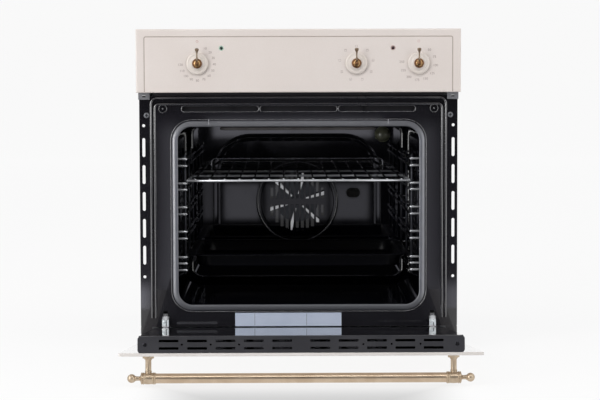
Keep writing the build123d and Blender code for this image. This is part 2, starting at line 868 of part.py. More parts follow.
# Top heaters: the outer roasting loop and the inner grill loop, clamped to the back wall
top_element_z = cavity_top - top_element_drop


def element_loop(half_width, back_y, end_x, end_y, z):
    """A heater rod that comes forward from its two ends and loops round the front corners."""
    bend = element_bend
    return bent_wire(
        [
            (-end_x, end_y, z),
            (-end_x, back_y + bend, z),
            (-end_x - bend, back_y, z),
            (-half_width + bend, back_y, z),
            (-half_width, back_y - bend, z),
            (-half_width, element_front_y + bend, z),
            (-half_width + bend, element_front_y, z),
            (half_width - bend, element_front_y, z),
            (half_width, element_front_y + bend, z),
            (half_width, back_y - bend, z),
            (half_width - bend, back_y, z),
            (end_x + bend, back_y, z),
            (end_x, back_y + bend, z),
            (end_x, end_y, z),
        ],
        element_radius,
    )


def grill_loop(z):
    """The grill rod: forward along the middle, then out and round both sides."""
    bend = element_bend / 2
    step = grill_half_width / 2
    front = element_front_y + 2 * element_bend
    back = element_back_y - 3 * element_bend
    half_route = [
        (grill_end_x, cavity_depth, z),
        (grill_end_x, front + element_bend + bend, z),
        (grill_end_x + bend, front + element_bend, z),
        (step - bend, front + element_bend, z),
        (step, front + element_bend + bend, z),
        (step, back - bend, z),
        (step + bend, back, z),
        (grill_half_width - bend, back, z),
        (grill_half_width, back - bend, z),
        (grill_half_width, front - element_bend + bend, z),
        (grill_half_width - bend, front - element_bend, z),
    ]
    other_half = [(-x, y, height) for x, y, height in reversed(half_route)]
    return bent_wire(half_route + other_half, element_radius)


roast_rod = element_loop(
    roast_half_width, element_back_y, element_end_x, cavity_depth, top_element_z)
grill_rod = grill_loop(top_element_z)
strap_width = 8.0

with BuildPart() as top_elements:
    add(roast_rod)
    for side in (-1, 1):
        with BuildSketch(Plane.XY.offset(top_element_z)):
            with Locations((side * roast_half_width, 2 * element_front_y)):
                Rectangle(2 * element_radius, strap_width)
        extrude(amount=top_element_drop)
    add(grill_rod)
top_elements.part.label = "top_elements"
export_step(top_elements.part, "parts/top_elements.step")

# Bottom heater: a loop under the liner's floor
bottom_element_z = cavity_bottom - liner_sheet - element_radius - running_gap
bottom_rod = element_loop(
    roast_half_width, element_back_y - 2 * element_bend, element_end_x,
    liner_back - 2 * element_bend, bottom_element_z)

with BuildPart() as bottom_element:
    add(bottom_rod)
bottom_element.part.label = "bottom_element"
export_step(bottom_element.part, "parts/bottom_element.step")

# Side ladders: guide wires that bend out to the wall, on three uprights pinned to it
ladder_wires = []
for height in guide_heights:
    ladder_wires.append(bent_wire(
        [
            (guide_end_x, ladder_front_y, height),
            (guide_x, ladder_front_y, height),
            (guide_x, ladder_back_y, height),
            (guide_end_x, ladder_back_y, height),
        ],
        guide_radius,
    ))
front_upright_y = ladder_front_y + ladder_upright_inset
back_upright_y = ladder_back_y - ladder_upright_inset
for upright_y in (front_upright_y, ladder_middle_y, back_upright_y):
    low_end = (ladder_wire_x, upright_y, guide_heights[-1] - ladder_overrun)
    high_end = (ladder_wire_x, upright_y, guide_heights[0] + ladder_overrun)
    ladder_wires.append(bent_wire([low_end, high_end], ladder_wire_radius))
    for height in ladder_pin_heights:
        pin_start = (ladder_wire_x, upright_y, height)
        pin_end = (cavity_width / 2, upright_y, height)
        ladder_wires.append(bent_wire([pin_start, pin_end], ladder_pin_radius))

with BuildPart() as side_ladder_right:
    add(ladder_wires)
side_ladder_right.part.label = "side_ladder_right"
export_step(side_ladder_right.part, "parts/side_ladder_right.step")

with BuildPart() as side_ladder_left:
    mirror(side_ladder_right.part, about=Plane.YZ)
side_ladder_left.part.label = "side_ladder_left"
export_step(side_ladder_left.part, "parts/side_ladder_left.step")

# Wire rack: a frame of bars, rods across the top and a raised guard at the back
rest_distance = guide_radius + rack_bar_radius + fit_gap
rack_z = rack_guide_z + sqrt(rest_distance**2 - (guide_x - rack_half_width) ** 2)
rack_wire_z = rack_z + rack_bar_radius
rack_rods = []
for side in (-1, 1):
    front_corner = (side * rack_half_width, rack_front_y - rack_wire_radius, rack_z)
    back_corner = (side * rack_half_width, rack_back_y + rack_wire_radius, rack_z)
    rack_rods.append(bent_wire([front_corner, back_corner], rack_bar_radius))
for bar_y in (rack_front_y, (rack_front_y + rack_back_y) / 2, rack_back_y):
    left_end = (-rack_half_width, bar_y, rack_z)
    right_end = (rack_half_width, bar_y, rack_z)
    rack_rods.append(bent_wire([left_end, right_end], rack_cross_radius))
for count in range(rack_wire_count):
    wire_x = (count - (rack_wire_count - 1) / 2) * rack_wire_pitch
    wire_front = (wire_x, rack_front_y - rack_wire_radius, rack_wire_z)
    wire_back = (wire_x, rack_back_y + rack_wire_radius, rack_wire_z)
    rack_rods.append(bent_wire([wire_front, wire_back], rack_wire_radius))
rack_guard_z = rack_z + rack_guard_rise
rack_guard = bent_wire(
    [
        (-rack_guard_x, rack_back_y, rack_z),
        (-rack_guard_x, rack_back_y, rack_guard_z - rack_guard_bend),
        (-rack_guard_x + rack_guard_bend, rack_back_y, rack_guard_z),
        (rack_guard_x - rack_guard_bend, rack_back_y, rack_guard_z),
        (rack_guard_x, rack_back_y, rack_guard_z - rack_guard_bend),
        (rack_guard_x, rack_back_y, rack_z),
    ],
    rack_guard_radius,
)

with BuildPart() as wire_rack:
    add(rack_rods)
    add(rack_guard)
wire_rack.part.label = "wire_rack"
export_step(wire_rack.part, "parts/wire_rack.step")

# Baking tray: a drawn pan hung by its flange on the guide wires
tray_rim_z = tray_guide_z + guide_radius + fit_gap + tray_sheet
tray_middle_y = tray_front_y + tray_length / 2
well_width = tray_width - 2 * tray_flange
well_length = tray_length - 2 * tray_flange

with BuildPart() as tray_hollow:
    with BuildSketch(Plane.XY.offset(tray_rim_z)):
        with Locations((0, tray_middle_y)):
            RectangleRounded(
                well_width - 2 * tray_sheet, well_length - 2 * tray_sheet, tray_corner - tray_sheet)
    extrude(amount=-(tray_depth - tray_sheet), taper=tray_taper)
    chamfer(tray_hollow.faces().sort_by(Axis.Z)[0].edges(), tray_floor_bevel)

with BuildPart() as baking_tray:
    with BuildSketch(Plane.XY.offset(tray_rim_z)):
        with Locations((0, tray_middle_y)):
            RectangleRounded(well_width, well_length, tray_corner)
    extrude(amount=-tray_depth, taper=tray_taper)
    chamfer(baking_tray.faces().sort_by(Axis.Z)[0].edges(), tray_floor_bevel)
    with BuildSketch(Plane.XY.offset(tray_rim_z)):
        with Locations((0, tray_middle_y)):
            RectangleRounded(tray_width, tray_length, tray_corner)
    extrude(amount=-tray_sheet)
    add(tray_hollow.part, mode=Mode.SUBTRACT)
baking_tray.part.label = "baking_tray"
export_step(baking_tray.part, "parts/baking_tray.step")

# Control panel: a folded sheet with a fine engraved line and holes for the spindles and lamps
fascia_back = -frame_sheet - fit_gap
vent_lip_slots = 5
vent_lip_pitch = 100.0
vent_lip_length = 82.0
vent_lip_width = 10.0


def panel_line(inset):
    """The engraved outline at a given step inside the line's outer edge, open at the bottom."""
    half = oven_width / 2 - line_side_inset - inset
    top = oven_top - line_top_inset - inset
    bottom = fascia_bottom - line_width
    with BuildSketch() as outline:
        with Locations((0, (top + bottom) / 2)):
            Rectangle(2 * half, top - bottom)
        fillet(outline.vertices().group_by(Axis.Y)[-1], line_corner_radius)
    return outline.sketch


line_outer = panel_line(0)
line_inner = panel_line(line_width)

with BuildPart() as fascia:
    with BuildSketch(front_plane(fascia_front)):
        with Locations((0, (oven_top + fascia_bottom) / 2)):
            Rectangle(oven_width, fascia_height)
    extrude(amount=-(fascia_back - fascia_front))
    front_edges = fascia.faces().sort_by(Axis.Y)[0].edges()
    fillet(front_edges, fascia_edge_radius)
    offset(amount=-sheet, openings=fascia.faces().sort_by(Axis.Y)[-1])
    with BuildSketch(front_plane(fascia_front)):
        add(line_outer)
        add(line_inner, mode=Mode.SUBTRACT)
    extrude(amount=-line_depth, mode=Mode.SUBTRACT)
    with BuildSketch(front_plane(fascia_front)):
        with Locations(*[(x, knob_z) for x in knob_places.values()]):
            Circle(spindle_hole_radius)
        with Locations(*[(x, pilot_z) for x in lamp_places.values()]):
            Circle(pilot_radius)
    extrude(amount=-2 * sheet, mode=Mode.SUBTRACT)
    with BuildSketch(Plane.XY.offset(fascia_bottom)):
        with Locations((0, fascia_front / 2)):
            with GridLocations(vent_lip_pitch, 1, vent_lip_slots, 1):
                Rectangle(vent_lip_length, vent_lip_width)
    extrude(amount=sheet, mode=Mode.SUBTRACT)
fascia.part.label = "fascia"
export_step(fascia.part, "parts/fascia.step")

# Control bracket: the channel behind the panel that carries the switches, with legs to the carcass
bracket_half = oven_width / 2 - sheet
leg_top_z = 555.0
tab_high_z = 500.0

with BuildPart() as control_bracket:
    with BuildSketch(front_plane(bracket_y)):
        with Locations((0, (bracket_low_z + bracket_high_z) / 2)):
            Rectangle(2 * bracket_half, bracket_high_z - bracket_low_z)
        with Locations(*[(x, knob_z) for x in knob_places.values()]):
            Circle(spindle_hole_radius, mode=Mode.SUBTRACT)
        with Locations(*[(x, pilot_z) for x in lamp_places.values()]):
            Circle(pilot_radius + pilot_flange, mode=Mode.SUBTRACT)
    extrude(amount=-sheet)
    for flange_z in (bracket_low_z, bracket_high_z - sheet):
        with BuildSketch(Plane.XY.offset(flange_z)):
            with Locations((0, (bracket_y + fascia_back) / 2)):
                Rectangle(2 * bracket_half, fascia_back - bracket_y)
        extrude(amount=sheet)
    for side in (-1, 1):
        with BuildSketch(Plane.YZ.offset(side * (half_carcass - 1.5 * sheet))):
            with Locations((0, (tab_high_z + leg_top_z) / 2)):
                Rectangle(-2 * bracket_y, leg_top_z - tab_high_z)
        extrude(amount=sheet / 2, both=True)
control_bracket.part.label = "control_bracket"
export_step(control_bracket.part, "parts/control_bracket.step")

# Corner brackets: plated tabs that tie the control bracket to the head of the front frame
tab_width = 21.0
tab_low_z = 466.0
tab_x = 285.5
tab_notch_width = 6.0
tab_notch_height = 3.0

with BuildPart() as corner_brackets:
    with BuildSketch(front_plane(0)):
        for side in (-1, 1):
            with Locations((side * tab_x, (tab_low_z + tab_high_z) / 2)):
                Rectangle(tab_width, tab_high_z - tab_low_z)
            with Locations((side * tab_x, tab_low_z + 2 * tab_notch_height)):
                Rectangle(tab_notch_width, tab_notch_height, mode=Mode.SUBTRACT)
    extrude(amount=-fascia_back - fit_gap)
corner_brackets.part.label = "corner_brackets"
export_step(corner_brackets.part, "parts/corner_brackets.step")

# Timer, selector switch and thermostat: moulded bodies behind the bracket, each bored for a spindle
unit_front_y = bracket_y + sheet
unit_names = {"timer": "timer_unit", "selector": "selector_switch", "thermostat": "thermostat_unit"}
terminal_tab_width = 6.3
terminal_tab_length = 8.0
terminal_tab_pitch_x = 14.0
terminal_tab_pitch_z = 12.0
terminal_tab_columns = 3
terminal_tab_rows = 2
selector_radius = 26.0
selector_faces = 8

for unit, label in unit_names.items():
    unit_x = knob_places[unit]
    with BuildPart() as control_unit:
        with BuildSketch(front_plane(unit_front_y)):
            with Locations((unit_x, knob_z)):
                if unit == "selector":
                    RegularPolygon(selector_radius, selector_faces)
                else:
                    Rectangle(unit_width, unit_height)
        extrude(amount=-unit_depth)
        with BuildSketch(front_plane(unit_front_y + unit_depth)):
            with Locations((unit_x, knob_z)):
                with GridLocations(
                        terminal_tab_pitch_x, terminal_tab_pitch_z,
                        terminal_tab_columns, terminal_tab_rows):
                    Rectangle(terminal_tab_width, sheet)
        extrude(amount=-terminal_tab_length)
        with BuildSketch(front_plane(unit_front_y)):
            with Locations((unit_x, knob_z)):
                Circle(spindle_radius + running_gap)
        extrude(amount=-unit_depth / 2, mode=Mode.SUBTRACT)
    control_unit.part.label = label
    export_step(control_unit.part, f"parts/{label}.step")

# Knobs: a stepped skirt, and a lever with a ball end on its spindle, faceted because they repeat
skirt_back_y = fascia_front - knob_gap
skirt_front_y = skirt_back_y - skirt_height
hub_front_y = skirt_front_y - hub_height
spindle_end_gap = 1.0
spindle_back_y = unit_front_y + unit_depth / 2 - spindle_end_gap
spindle_bore = spindle_radius + running_gap
skirt_faces = 36
hub_faces = 24
lever_faces = 12
lever_y = hub_front_y + hub_height / 4

with BuildPart() as lever_ball:
    with BuildSketch(Plane.XY.offset(-lever_ball_radius)):
        RegularPolygon(lever_ball_radius, lever_faces)
    extrude(amount=2 * lever_ball_radius)
    ball_rims = lever_ball.edges().filter_by(Axis.Z, reverse=True)
    chamfer(ball_rims, lever_ball_radius / 2)

for knob, knob_x in knob_places.items():
    with BuildPart() as knob_skirt:
        with BuildSketch(front_plane(skirt_back_y)):
            with Locations((knob_x, knob_z)):
                RegularPolygon(skirt_radius, skirt_faces)
        extrude(amount=skirt_rim)
        chamfer(knob_skirt.faces().sort_by(Axis.Y)[0].edges(), skirt_rim_bevel)
        with BuildSketch(front_plane(skirt_back_y)):
            with Locations((knob_x, knob_z)):
                RegularPolygon(skirt_boss_radius, skirt_faces)
        extrude(amount=skirt_height)
        chamfer(knob_skirt.faces().sort_by(Axis.Y)[0].edges(), skirt_boss_bevel)
        with BuildSketch(front_plane(skirt_back_y)):
            with Locations((knob_x, knob_z)):
                RegularPolygon(spindle_bore, wire_faces, major_radius=False)
        extrude(amount=skirt_height, mode=Mode.SUBTRACT)
    knob_skirt.part.label = f"{knob}_knob_skirt"
    export_step(knob_skirt.part, f"parts/{knob}_knob_skirt.step")

    with BuildPart() as knob_lever:
        with BuildSketch(front_plane(skirt_front_y)):
            with Locations((knob_x, knob_z)):
                RegularPolygon(hub_radius, hub_faces)
        extrude(amount=hub_rim)
        chamfer(knob_lever.faces().sort_by(Axis.Y)[0].edges(), hub_bevel)
        with BuildSketch(front_plane(skirt_front_y)):
            with Locations((knob_x, knob_z)):
                RegularPolygon(hub_step_radius, hub_faces)
        extrude(amount=hub_height)
        chamfer(knob_lever.faces().sort_by(Axis.Y)[0].edges(), hub_step_bevel)
        with BuildSketch(front_plane(spindle_back_y)):
            with Locations((knob_x, knob_z)):
                Circle(spindle_radius)
        extrude(amount=spindle_back_y - skirt_front_y)
        with BuildSketch(Plane.XY.offset(knob_z)):
            with Locations((knob_x, lever_y)):
                RegularPolygon(lever_neck_radius, lever_faces)
        extrude(amount=lever_reach)
        with Locations((knob_x, lever_y, knob_z + lever_reach)):
            add(lever_ball.part)
    knob_lever.part.label = f"{knob}_knob_lever"
    export_step(knob_lever.part, f"parts/{knob}_knob_lever.step")

# Pilot lamps: lenses through the panel, each with its tube back to the bracket
pilot_faces = 16
pilot_bevel = 1.0
pilot_back_y = fascia_front + sheet

for colour, pilot_x in lamp_places.items():
    with BuildPart() as pilot_lamp:
        with BuildSketch(front_plane(pilot_back_y)):
            with Locations((pilot_x, pilot_z)):
                RegularPolygon(pilot_radius - running_gap, pilot_faces)
        extrude(amount=sheet + pilot_rise)
        chamfer(pilot_lamp.faces().sort_by(Axis.Y)[0].edges(), pilot_bevel)
        with BuildSketch(front_plane(bracket_y)):
            with Locations((pilot_x, pilot_z)):
                RegularPolygon(pilot_radius + pilot_flange, pilot_faces)
        extrude(amount=bracket_y - pilot_back_y)
    pilot_lamp.part.label = f"pilot_lamp_{colour}"
    export_step(pilot_lamp.part, f"parts/pilot_lamp_{colour}.step")

# Cooling blower: a scroll housing whose mouth blows out under the control panel
scroll_radius = rotor_radius + blower_gap
housing_sheet = 1.0
outlet_low_z = insulation_top
outlet_high_z = outlet_low_z + blower_outlet
outlet_front_y = channel_depth + frame_sheet
rotor_end_gap = 2.0
housing_half = rotor_length / 2 + rotor_end_gap
scroll_tongue_share = 0.4
scroll_bulge_share = 1.3
scroll_back_angle = radians(50)
intake_share = 1.2
intake_depth = 20.0


def scroll_outline(inset):
    """The blower's section in Y and Z: a scroll over the rotor that runs out to a flat mouth."""
    with BuildSketch() as outline:
        with BuildLine():
            low = outlet_low_z + inset
            high = outlet_high_z - inset
            reach = scroll_radius + housing_sheet - inset
            Polyline(
                (rotor_y - reach, high),
                (outlet_front_y, high),
                (outlet_front_y, low),
                (rotor_y + scroll_tongue_share * reach, low),
            )
            ThreePointArc(
                (rotor_y + scroll_tongue_share * reach, low),
                (rotor_y + scroll_bulge_share * reach, rotor_z),
                (rotor_y, rotor_z + reach),
            )
            ThreePointArc(
                (rotor_y, rotor_z + reach),
                (
                    rotor_y - reach * sin(scroll_back_angle),
                    rotor_z + reach * cos(scroll_back_angle),
                ),
                (rotor_y - reach, high),
            )
        make_face()
    return outline.sketch


scroll_shell = scroll_outline(0)
scroll_air = scroll_outline(housing_sheet)

with BuildPart() as cooling_fan_housing:
    with BuildSketch(Plane.YZ):
        add(scroll_shell)
    extrude(amount=housing_half + housing_sheet, both=True)
    with BuildSketch(Plane.YZ):
        add(scroll_air)
    extrude(amount=housing_half, both=True, mode=Mode.SUBTRACT)
    with BuildSketch(front_plane(outlet_front_y)):
        with Locations((0, (outlet_low_z + outlet_high_z) / 2)):
            Rectangle(2 * housing_half, blower_outlet - 2 * housing_sheet)
    extrude(amount=-2 * housing_sheet, mode=Mode.SUBTRACT)
    with BuildSketch(Plane.XY.offset(rotor_z + rotor_radius)):
        with Locations((0, rotor_y)):
            Rectangle(2 * housing_half, intake_share * rotor_radius)
    extrude(amount=intake_depth, mode=Mode.SUBTRACT)
    with BuildSketch(Plane.YZ):
        with Locations((rotor_y, rotor_z)):
            Circle(shaft_radius + running_gap)
    extrude(amount=2 * housing_half, both=True, mode=Mode.SUBTRACT)
cooling_fan_housing.part.label = "cooling_fan_housing"
export_step(cooling_fan_housing.part, "parts/cooling_fan_housing.step")

# Cooling rotor: rings of leaning blades between end discs
rotor_disc = 1.0
rotor_blade_inset = 0.5
rotor_blade_sheet = 0.8
rotor_blade_angle = 35.0
rotor_shaft_tail = 8.0
rotor_shaft_head = 18.0
with BuildPart() as cooling_fan_rotor:
    with BuildSketch(Plane.YZ.offset(-rotor_length / 2)):
        with Locations((rotor_y, rotor_z)):
            RegularPolygon(rotor_radius, 2 * rotor_blades)
    extrude(amount=rotor_disc)
    with BuildSketch(Plane.YZ.offset(rotor_length / 2 - rotor_disc)):
        with Locations((rotor_y, rotor_z)):
            RegularPolygon(rotor_radius, 2 * rotor_blades)
    extrude(amount=rotor_disc)
    with BuildSketch(Plane.YZ.offset(-rotor_length / 2 + rotor_disc / 2)):
        with Locations((rotor_y, rotor_z)):
            with PolarLocations(rotor_radius - rotor_blade_chord / 2 - rotor_blade_inset, rotor_blades):
                Rectangle(rotor_blade_chord, rotor_blade_sheet, rotation=rotor_blade_angle)
    extrude(amount=rotor_length - rotor_disc)
    with BuildSketch(Plane.YZ.offset(-housing_half - rotor_shaft_tail)):
        with Locations((rotor_y, rotor_z)):
            Circle(shaft_radius)
    extrude(amount=2 * housing_half + rotor_shaft_tail + rotor_shaft_head)
cooling_fan_rotor.part.label = "cooling_fan_rotor"
export_step(cooling_fan_rotor.part, "parts/cooling_fan_rotor.step")

# Cooling motor on the right-hand end of the housing
cooling_motor_length = 26.0
cooling_stack_width = 56.0
cooling_stack_height = 46.0
cooling_coil_width = 20.0
cooling_coil_height = 30.0
cooling_motor_cap = 2.0
cooling_coil_y = rotor_y + (cooling_stack_width + cooling_coil_width) / 2 - cooling_motor_cap

with BuildPart() as cooling_fan_motor:
    with BuildSketch(Plane.YZ.offset(housing_half + housing_sheet)):
        with Locations((rotor_y, rotor_z)):
            Rectangle(cooling_stack_width, cooling_stack_height)
    extrude(amount=cooling_motor_length)
    with BuildSketch(Plane.YZ.offset(housing_half + housing_sheet)):
        with Locations((cooling_coil_y, rotor_z)):
            Rectangle(cooling_coil_width, cooling_coil_height)
    extrude(amount=cooling_motor_length)
    with BuildSketch(Plane.YZ.offset(housing_half + housing_sheet)):
        with Locations((rotor_y, rotor_z)):
            Circle(shaft_radius + running_gap)
    extrude(amount=cooling_motor_length - cooling_motor_cap, mode=Mode.SUBTRACT)
cooling_fan_motor.part.label = "cooling_fan_motor"
export_step(cooling_fan_motor.part, "parts/cooling_fan_motor.step")

# Terminal block: a lidded box on the rear panel with the inlet hole for the mains lead
inlet_radius = 6.0
with BuildPart() as terminal_block:
    with BuildSketch(front_plane(carcass_depth)):
        with Locations((terminal_x, terminal_z)):
            Rectangle(terminal_width, terminal_height)
    extrude(amount=-terminal_depth)
    rear_edges = terminal_block.faces().sort_by(Axis.Y)[-1].edges()
    chamfer(rear_edges, terminal_bevel)
    with BuildSketch(front_plane(carcass_depth + terminal_depth)):
        with Locations((terminal_x, terminal_z + terminal_height / 4)):
            Rectangle(terminal_width / 2, 3 * terminal_bevel)
    extrude(amount=terminal_bevel / 2, mode=Mode.SUBTRACT)
    with BuildSketch(Plane.XY.offset(terminal_z - terminal_height / 2)):
        with Locations((terminal_x, carcass_depth + terminal_depth / 2)):
            Circle(inlet_radius)
    extrude(amount=terminal_height / 3, mode=Mode.SUBTRACT)
terminal_block.part.label = "terminal_block"
export_step(terminal_block.part, "parts/terminal_block.step")

# Hinge arms: cranked bars from the frame's pockets to the pivot pins
arm_half = arm_width / 2
arm_tail_rise = 7.0
arm_nose_reach = 3.0
arm_nose_drop = 4.0
arm_throat_y = -1.5
arm_throat_rise = 2.5
arm_heel_y = 3.0
arm_nose_y = clip_rivet_y - arm_nose_reach
arm_nose_z = arm_top_z - arm_nose_drop
eye_front_angle = radians(160)
eye_back_angle = radians(-9)
eye_front_y = pivot_y + arm_eye_radius * cos(eye_front_angle)
eye_front_z = pivot_z + arm_eye_radius * sin(eye_front_angle)
eye_back_y = pivot_y + arm_eye_radius * cos(eye_back_angle)
eye_back_z = pivot_z + arm_eye_radius * sin(eye_back_angle)


def arm_outline():
    """The arm seen from the side, in Y and Z, with an eye round the pivot."""
    with BuildSketch() as outline:
        with BuildLine():
            Polyline(
                (arm_tail_y, receiver_bottom_z + arm_tail_rise),
                (arm_tail_y, arm_top_z),
                (clip_rivet_y + arm_nose_reach, arm_top_z),
                (arm_nose_y, arm_nose_z),
                (eye_front_y, eye_front_z),
                (eye_back_y, eye_back_z),
                (arm_throat_y, receiver_bottom_z + arm_throat_rise),
                (arm_heel_y, receiver_bottom_z + arm_tail_rise),
                close=True,
            )
        make_face()
        with Locations((pivot_y, pivot_z)):
            RegularPolygon(arm_eye_radius, arm_eye_faces)
            Circle(hinge_pin_radius + running_gap, mode=Mode.SUBTRACT)
    return outline.sketch


arm_side = arm_outline()

with BuildPart() as hinge_arm_right:
    with BuildSketch(Plane.YZ.offset(hinge_x)):
        add(arm_side)
    extrude(amount=arm_half, both=True)
    with BuildSketch(Plane.YZ.offset(hinge_x)):
        with Locations((clip_rivet_y, clip_rivet_z)):
            Circle(clip_rivet_radius)
    extrude(amount=clip_width / 2, both=True)
hinge_arm_right.part.label = "hinge_arm_right"
export_step(hinge_arm_right.part, "parts/hinge_arm_right.step")

with BuildPart() as hinge_arm_left:
    mirror(hinge_arm_right.part, about=Plane.YZ)
hinge_arm_left.part.label = "hinge_arm_left"
export_step(hinge_arm_left.part, "parts/hinge_arm_left.step")

# Locking clips: saddles that swing on the arms' rivets
clip_front_gap = 0.5
clip_cheek_depth = 3.0
clip_web_drop = 2.0
clip_slope = (eye_front_y - arm_nose_y) / (eye_front_z - arm_nose_z)
clip_bottom_z = clip_rivet_z - clip_drop
clip_web_top_z = clip_rivet_z - clip_web_drop


def clip_outline(step, deep):
    """The clip seen from the side: a leg that follows the arm's front edge, step in front of it."""
    arm_front_top = arm_nose_y + (clip_web_top_z - arm_nose_z) * clip_slope
    arm_front_bottom = arm_nose_y + (clip_bottom_z - arm_nose_z) * clip_slope
    with BuildSketch() as outline:
        with BuildLine():
            Polyline(
                (arm_front_top - step, clip_web_top_z),
                (arm_front_top - step + deep, clip_web_top_z),
                (arm_front_bottom - step + deep, clip_bottom_z),
                (arm_front_bottom - step, clip_bottom_z),
                close=True,
            )
        make_face()
    return outline.sketch


clip_step = clip_front_gap + clip_sheet
clip_side = clip_outline(clip_step, clip_step + clip_cheek_depth)
clip_web = clip_outline(clip_step, clip_sheet)

with BuildPart() as hinge_clip_right:
    for side in (-1, 1):
        cheek_x = hinge_x + side * (clip_width / 2 - clip_sheet / 2)
        with BuildSketch(Plane.YZ.offset(cheek_x)):
            add(clip_side)
            with Locations((clip_rivet_y, clip_rivet_z)):
                RegularPolygon(clip_eye_radius, arm_eye_faces)
        extrude(amount=clip_sheet / 2, both=True)
    with BuildSketch(Plane.YZ.offset(hinge_x)):
        add(clip_web)
    extrude(amount=clip_width / 2, both=True)
    with BuildSketch(Plane.YZ.offset(hinge_x)):
        with Locations((clip_rivet_y, clip_rivet_z)):
            Circle(clip_rivet_radius + running_gap)
    extrude(amount=clip_width, both=True, mode=Mode.SUBTRACT)
hinge_clip_right.part.label = "hinge_clip_right"
export_step(hinge_clip_right.part, "parts/hinge_clip_right.step")

with BuildPart() as hinge_clip_left:
    mirror(hinge_clip_right.part, about=Plane.YZ)
hinge_clip_left.part.label = "hinge_clip_left"
export_step(hinge_clip_left.part, "parts/hinge_clip_left.step")

# Hinge channels: inside the door's side profiles, with the pivot pin and the spring's seat
channel_floor = panel_back - profile_wall
channel_mouth_gap = 2.0
channel_open_edge = door_inside + profile_wall + channel_mouth_gap
channel_inner_floor = channel_floor - hinge_channel_wall
channel_clear = hinge_channel_width - 2 * hinge_channel_wall

with BuildPart() as hinge_channel_right:
    with BuildSketch(door_edge_plane(hinge_channel_low)):
        with Locations((hinge_x, -(channel_floor + channel_open_edge) / 2)):
            Rectangle(hinge_channel_width, channel_floor - channel_open_edge)
        with Locations((hinge_x, -(channel_inner_floor + channel_open_edge) / 2)):
            Rectangle(channel_clear, channel_inner_floor - channel_open_edge, mode=Mode.SUBTRACT)
    extrude(amount=hinge_channel_high - hinge_channel_low)
    with BuildSketch(door_edge_plane(spring_seat)):
        with Locations((hinge_x, -(channel_inner_floor + channel_open_edge) / 2)):
            Rectangle(channel_clear, channel_inner_floor - channel_open_edge)
        with Locations((hinge_x, -rod_w)):
            Circle(rod_radius + fit_gap, mode=Mode.SUBTRACT)
    extrude(amount=2 * sheet)
    with BuildSketch(door_side_plane(hinge_x)):
        Circle(hinge_pin_radius)
    extrude(amount=hinge_channel_width / 2, both=True)
hinge_channel_right.part.label = "hinge_channel_right"
export_step(hinge_channel_right.part, "parts/hinge_channel_right.step")

with BuildPart() as hinge_channel_left:
    mirror(hinge_channel_right.part, about=Plane.YZ)
hinge_channel_left.part.label = "hinge_channel_left"
export_step(hinge_channel_left.part, "parts/hinge_channel_left.step")

# Hinge rods: pulled by the arms as the door turns, each with a head against its spring
spring_top = spring_seat + 2 * sheet + spring_length

with BuildPart() as hinge_rod_right:
    with BuildSketch(door_edge_plane(rod_low)):
        with Locations((hinge_x, -rod_w)):
            Circle(rod_radius)
    extrude(amount=spring_top + fit_gap - rod_low)
    with BuildSketch(door_edge_plane(spring_top + fit_gap)):
        with Locations((hinge_x, -rod_w)):
            Circle(rod_head_radius)
    extrude(amount=rod_head)
hinge_rod_right.part.label = "hinge_rod_right"
export_step(hinge_rod_right.part, "parts/hinge_rod_right.step")

with BuildPart() as hinge_rod_left:
    mirror(hinge_rod_right.part, about=Plane.YZ)
hinge_rod_left.part.label = "hinge_rod_left"
export_step(hinge_rod_left.part, "parts/hinge_rod_left.step")

# Hinge springs, closed up on their seats while the door is open
with BuildPart() as hinge_springs:
    with BuildSketch(door_edge_plane(spring_seat + 2 * sheet)):
        with Locations((-hinge_x, -rod_w), (hinge_x, -rod_w)):
            RegularPolygon(spring_radius, holder_faces)
            Circle(rod_radius + fit_gap, mode=Mode.SUBTRACT)
    extrude(amount=spring_length)
hinge_springs.part.label = "hinge_springs"
export_step(hinge_springs.part, "parts/hinge_springs.step")

# Door outer panel: the full-width glass front
with BuildPart() as door_outer_panel:
    with BuildSketch(door_plane(panel_back)):
        with Locations((0, (door_top + door_heel) / 2)):
            RectangleRounded(oven_width, door_top - door_heel, door_corner)
    extrude(amount=door_glass)
    chamfer(door_outer_panel.edges().group_by(SortBy.LENGTH)[-1], door_glass_bevel)
door_outer_panel.part.label = "door_outer_panel"
export_step(door_outer_panel.part, "parts/door_outer_panel.step")

# Door side profiles: box sections with the slots that the hinge arms pass through
profile_top = door_top - cap_height
profile_middle_x = door_frame_width / 2 - profile_width / 2
profile_middle_w = (door_inside + panel_back) / 2

with BuildPart() as door_side_profiles:
    for side in (-1, 1):
        with BuildSketch(door_edge_plane(door_heel)):
            with Locations((side * profile_middle_x, -profile_middle_w)):
                Rectangle(profile_width, door_frame_thickness)
                Rectangle(
                    profile_width - 2 * profile_wall, door_frame_thickness - 2 * profile_wall,
                    mode=Mode.SUBTRACT)
        extrude(amount=profile_top - door_heel)
        with BuildSketch(door_plane(door_inside)):
            with Locations((side * hinge_x, (hinge_slot_low + hinge_slot_high) / 2)):
                Rectangle(hinge_slot_width, hinge_slot_high - hinge_slot_low)
        extrude(amount=profile_wall, mode=Mode.SUBTRACT)
door_side_profiles.part.label = "door_side_profiles"
export_step(door_side_profiles.part, "parts/door_side_profiles.step")

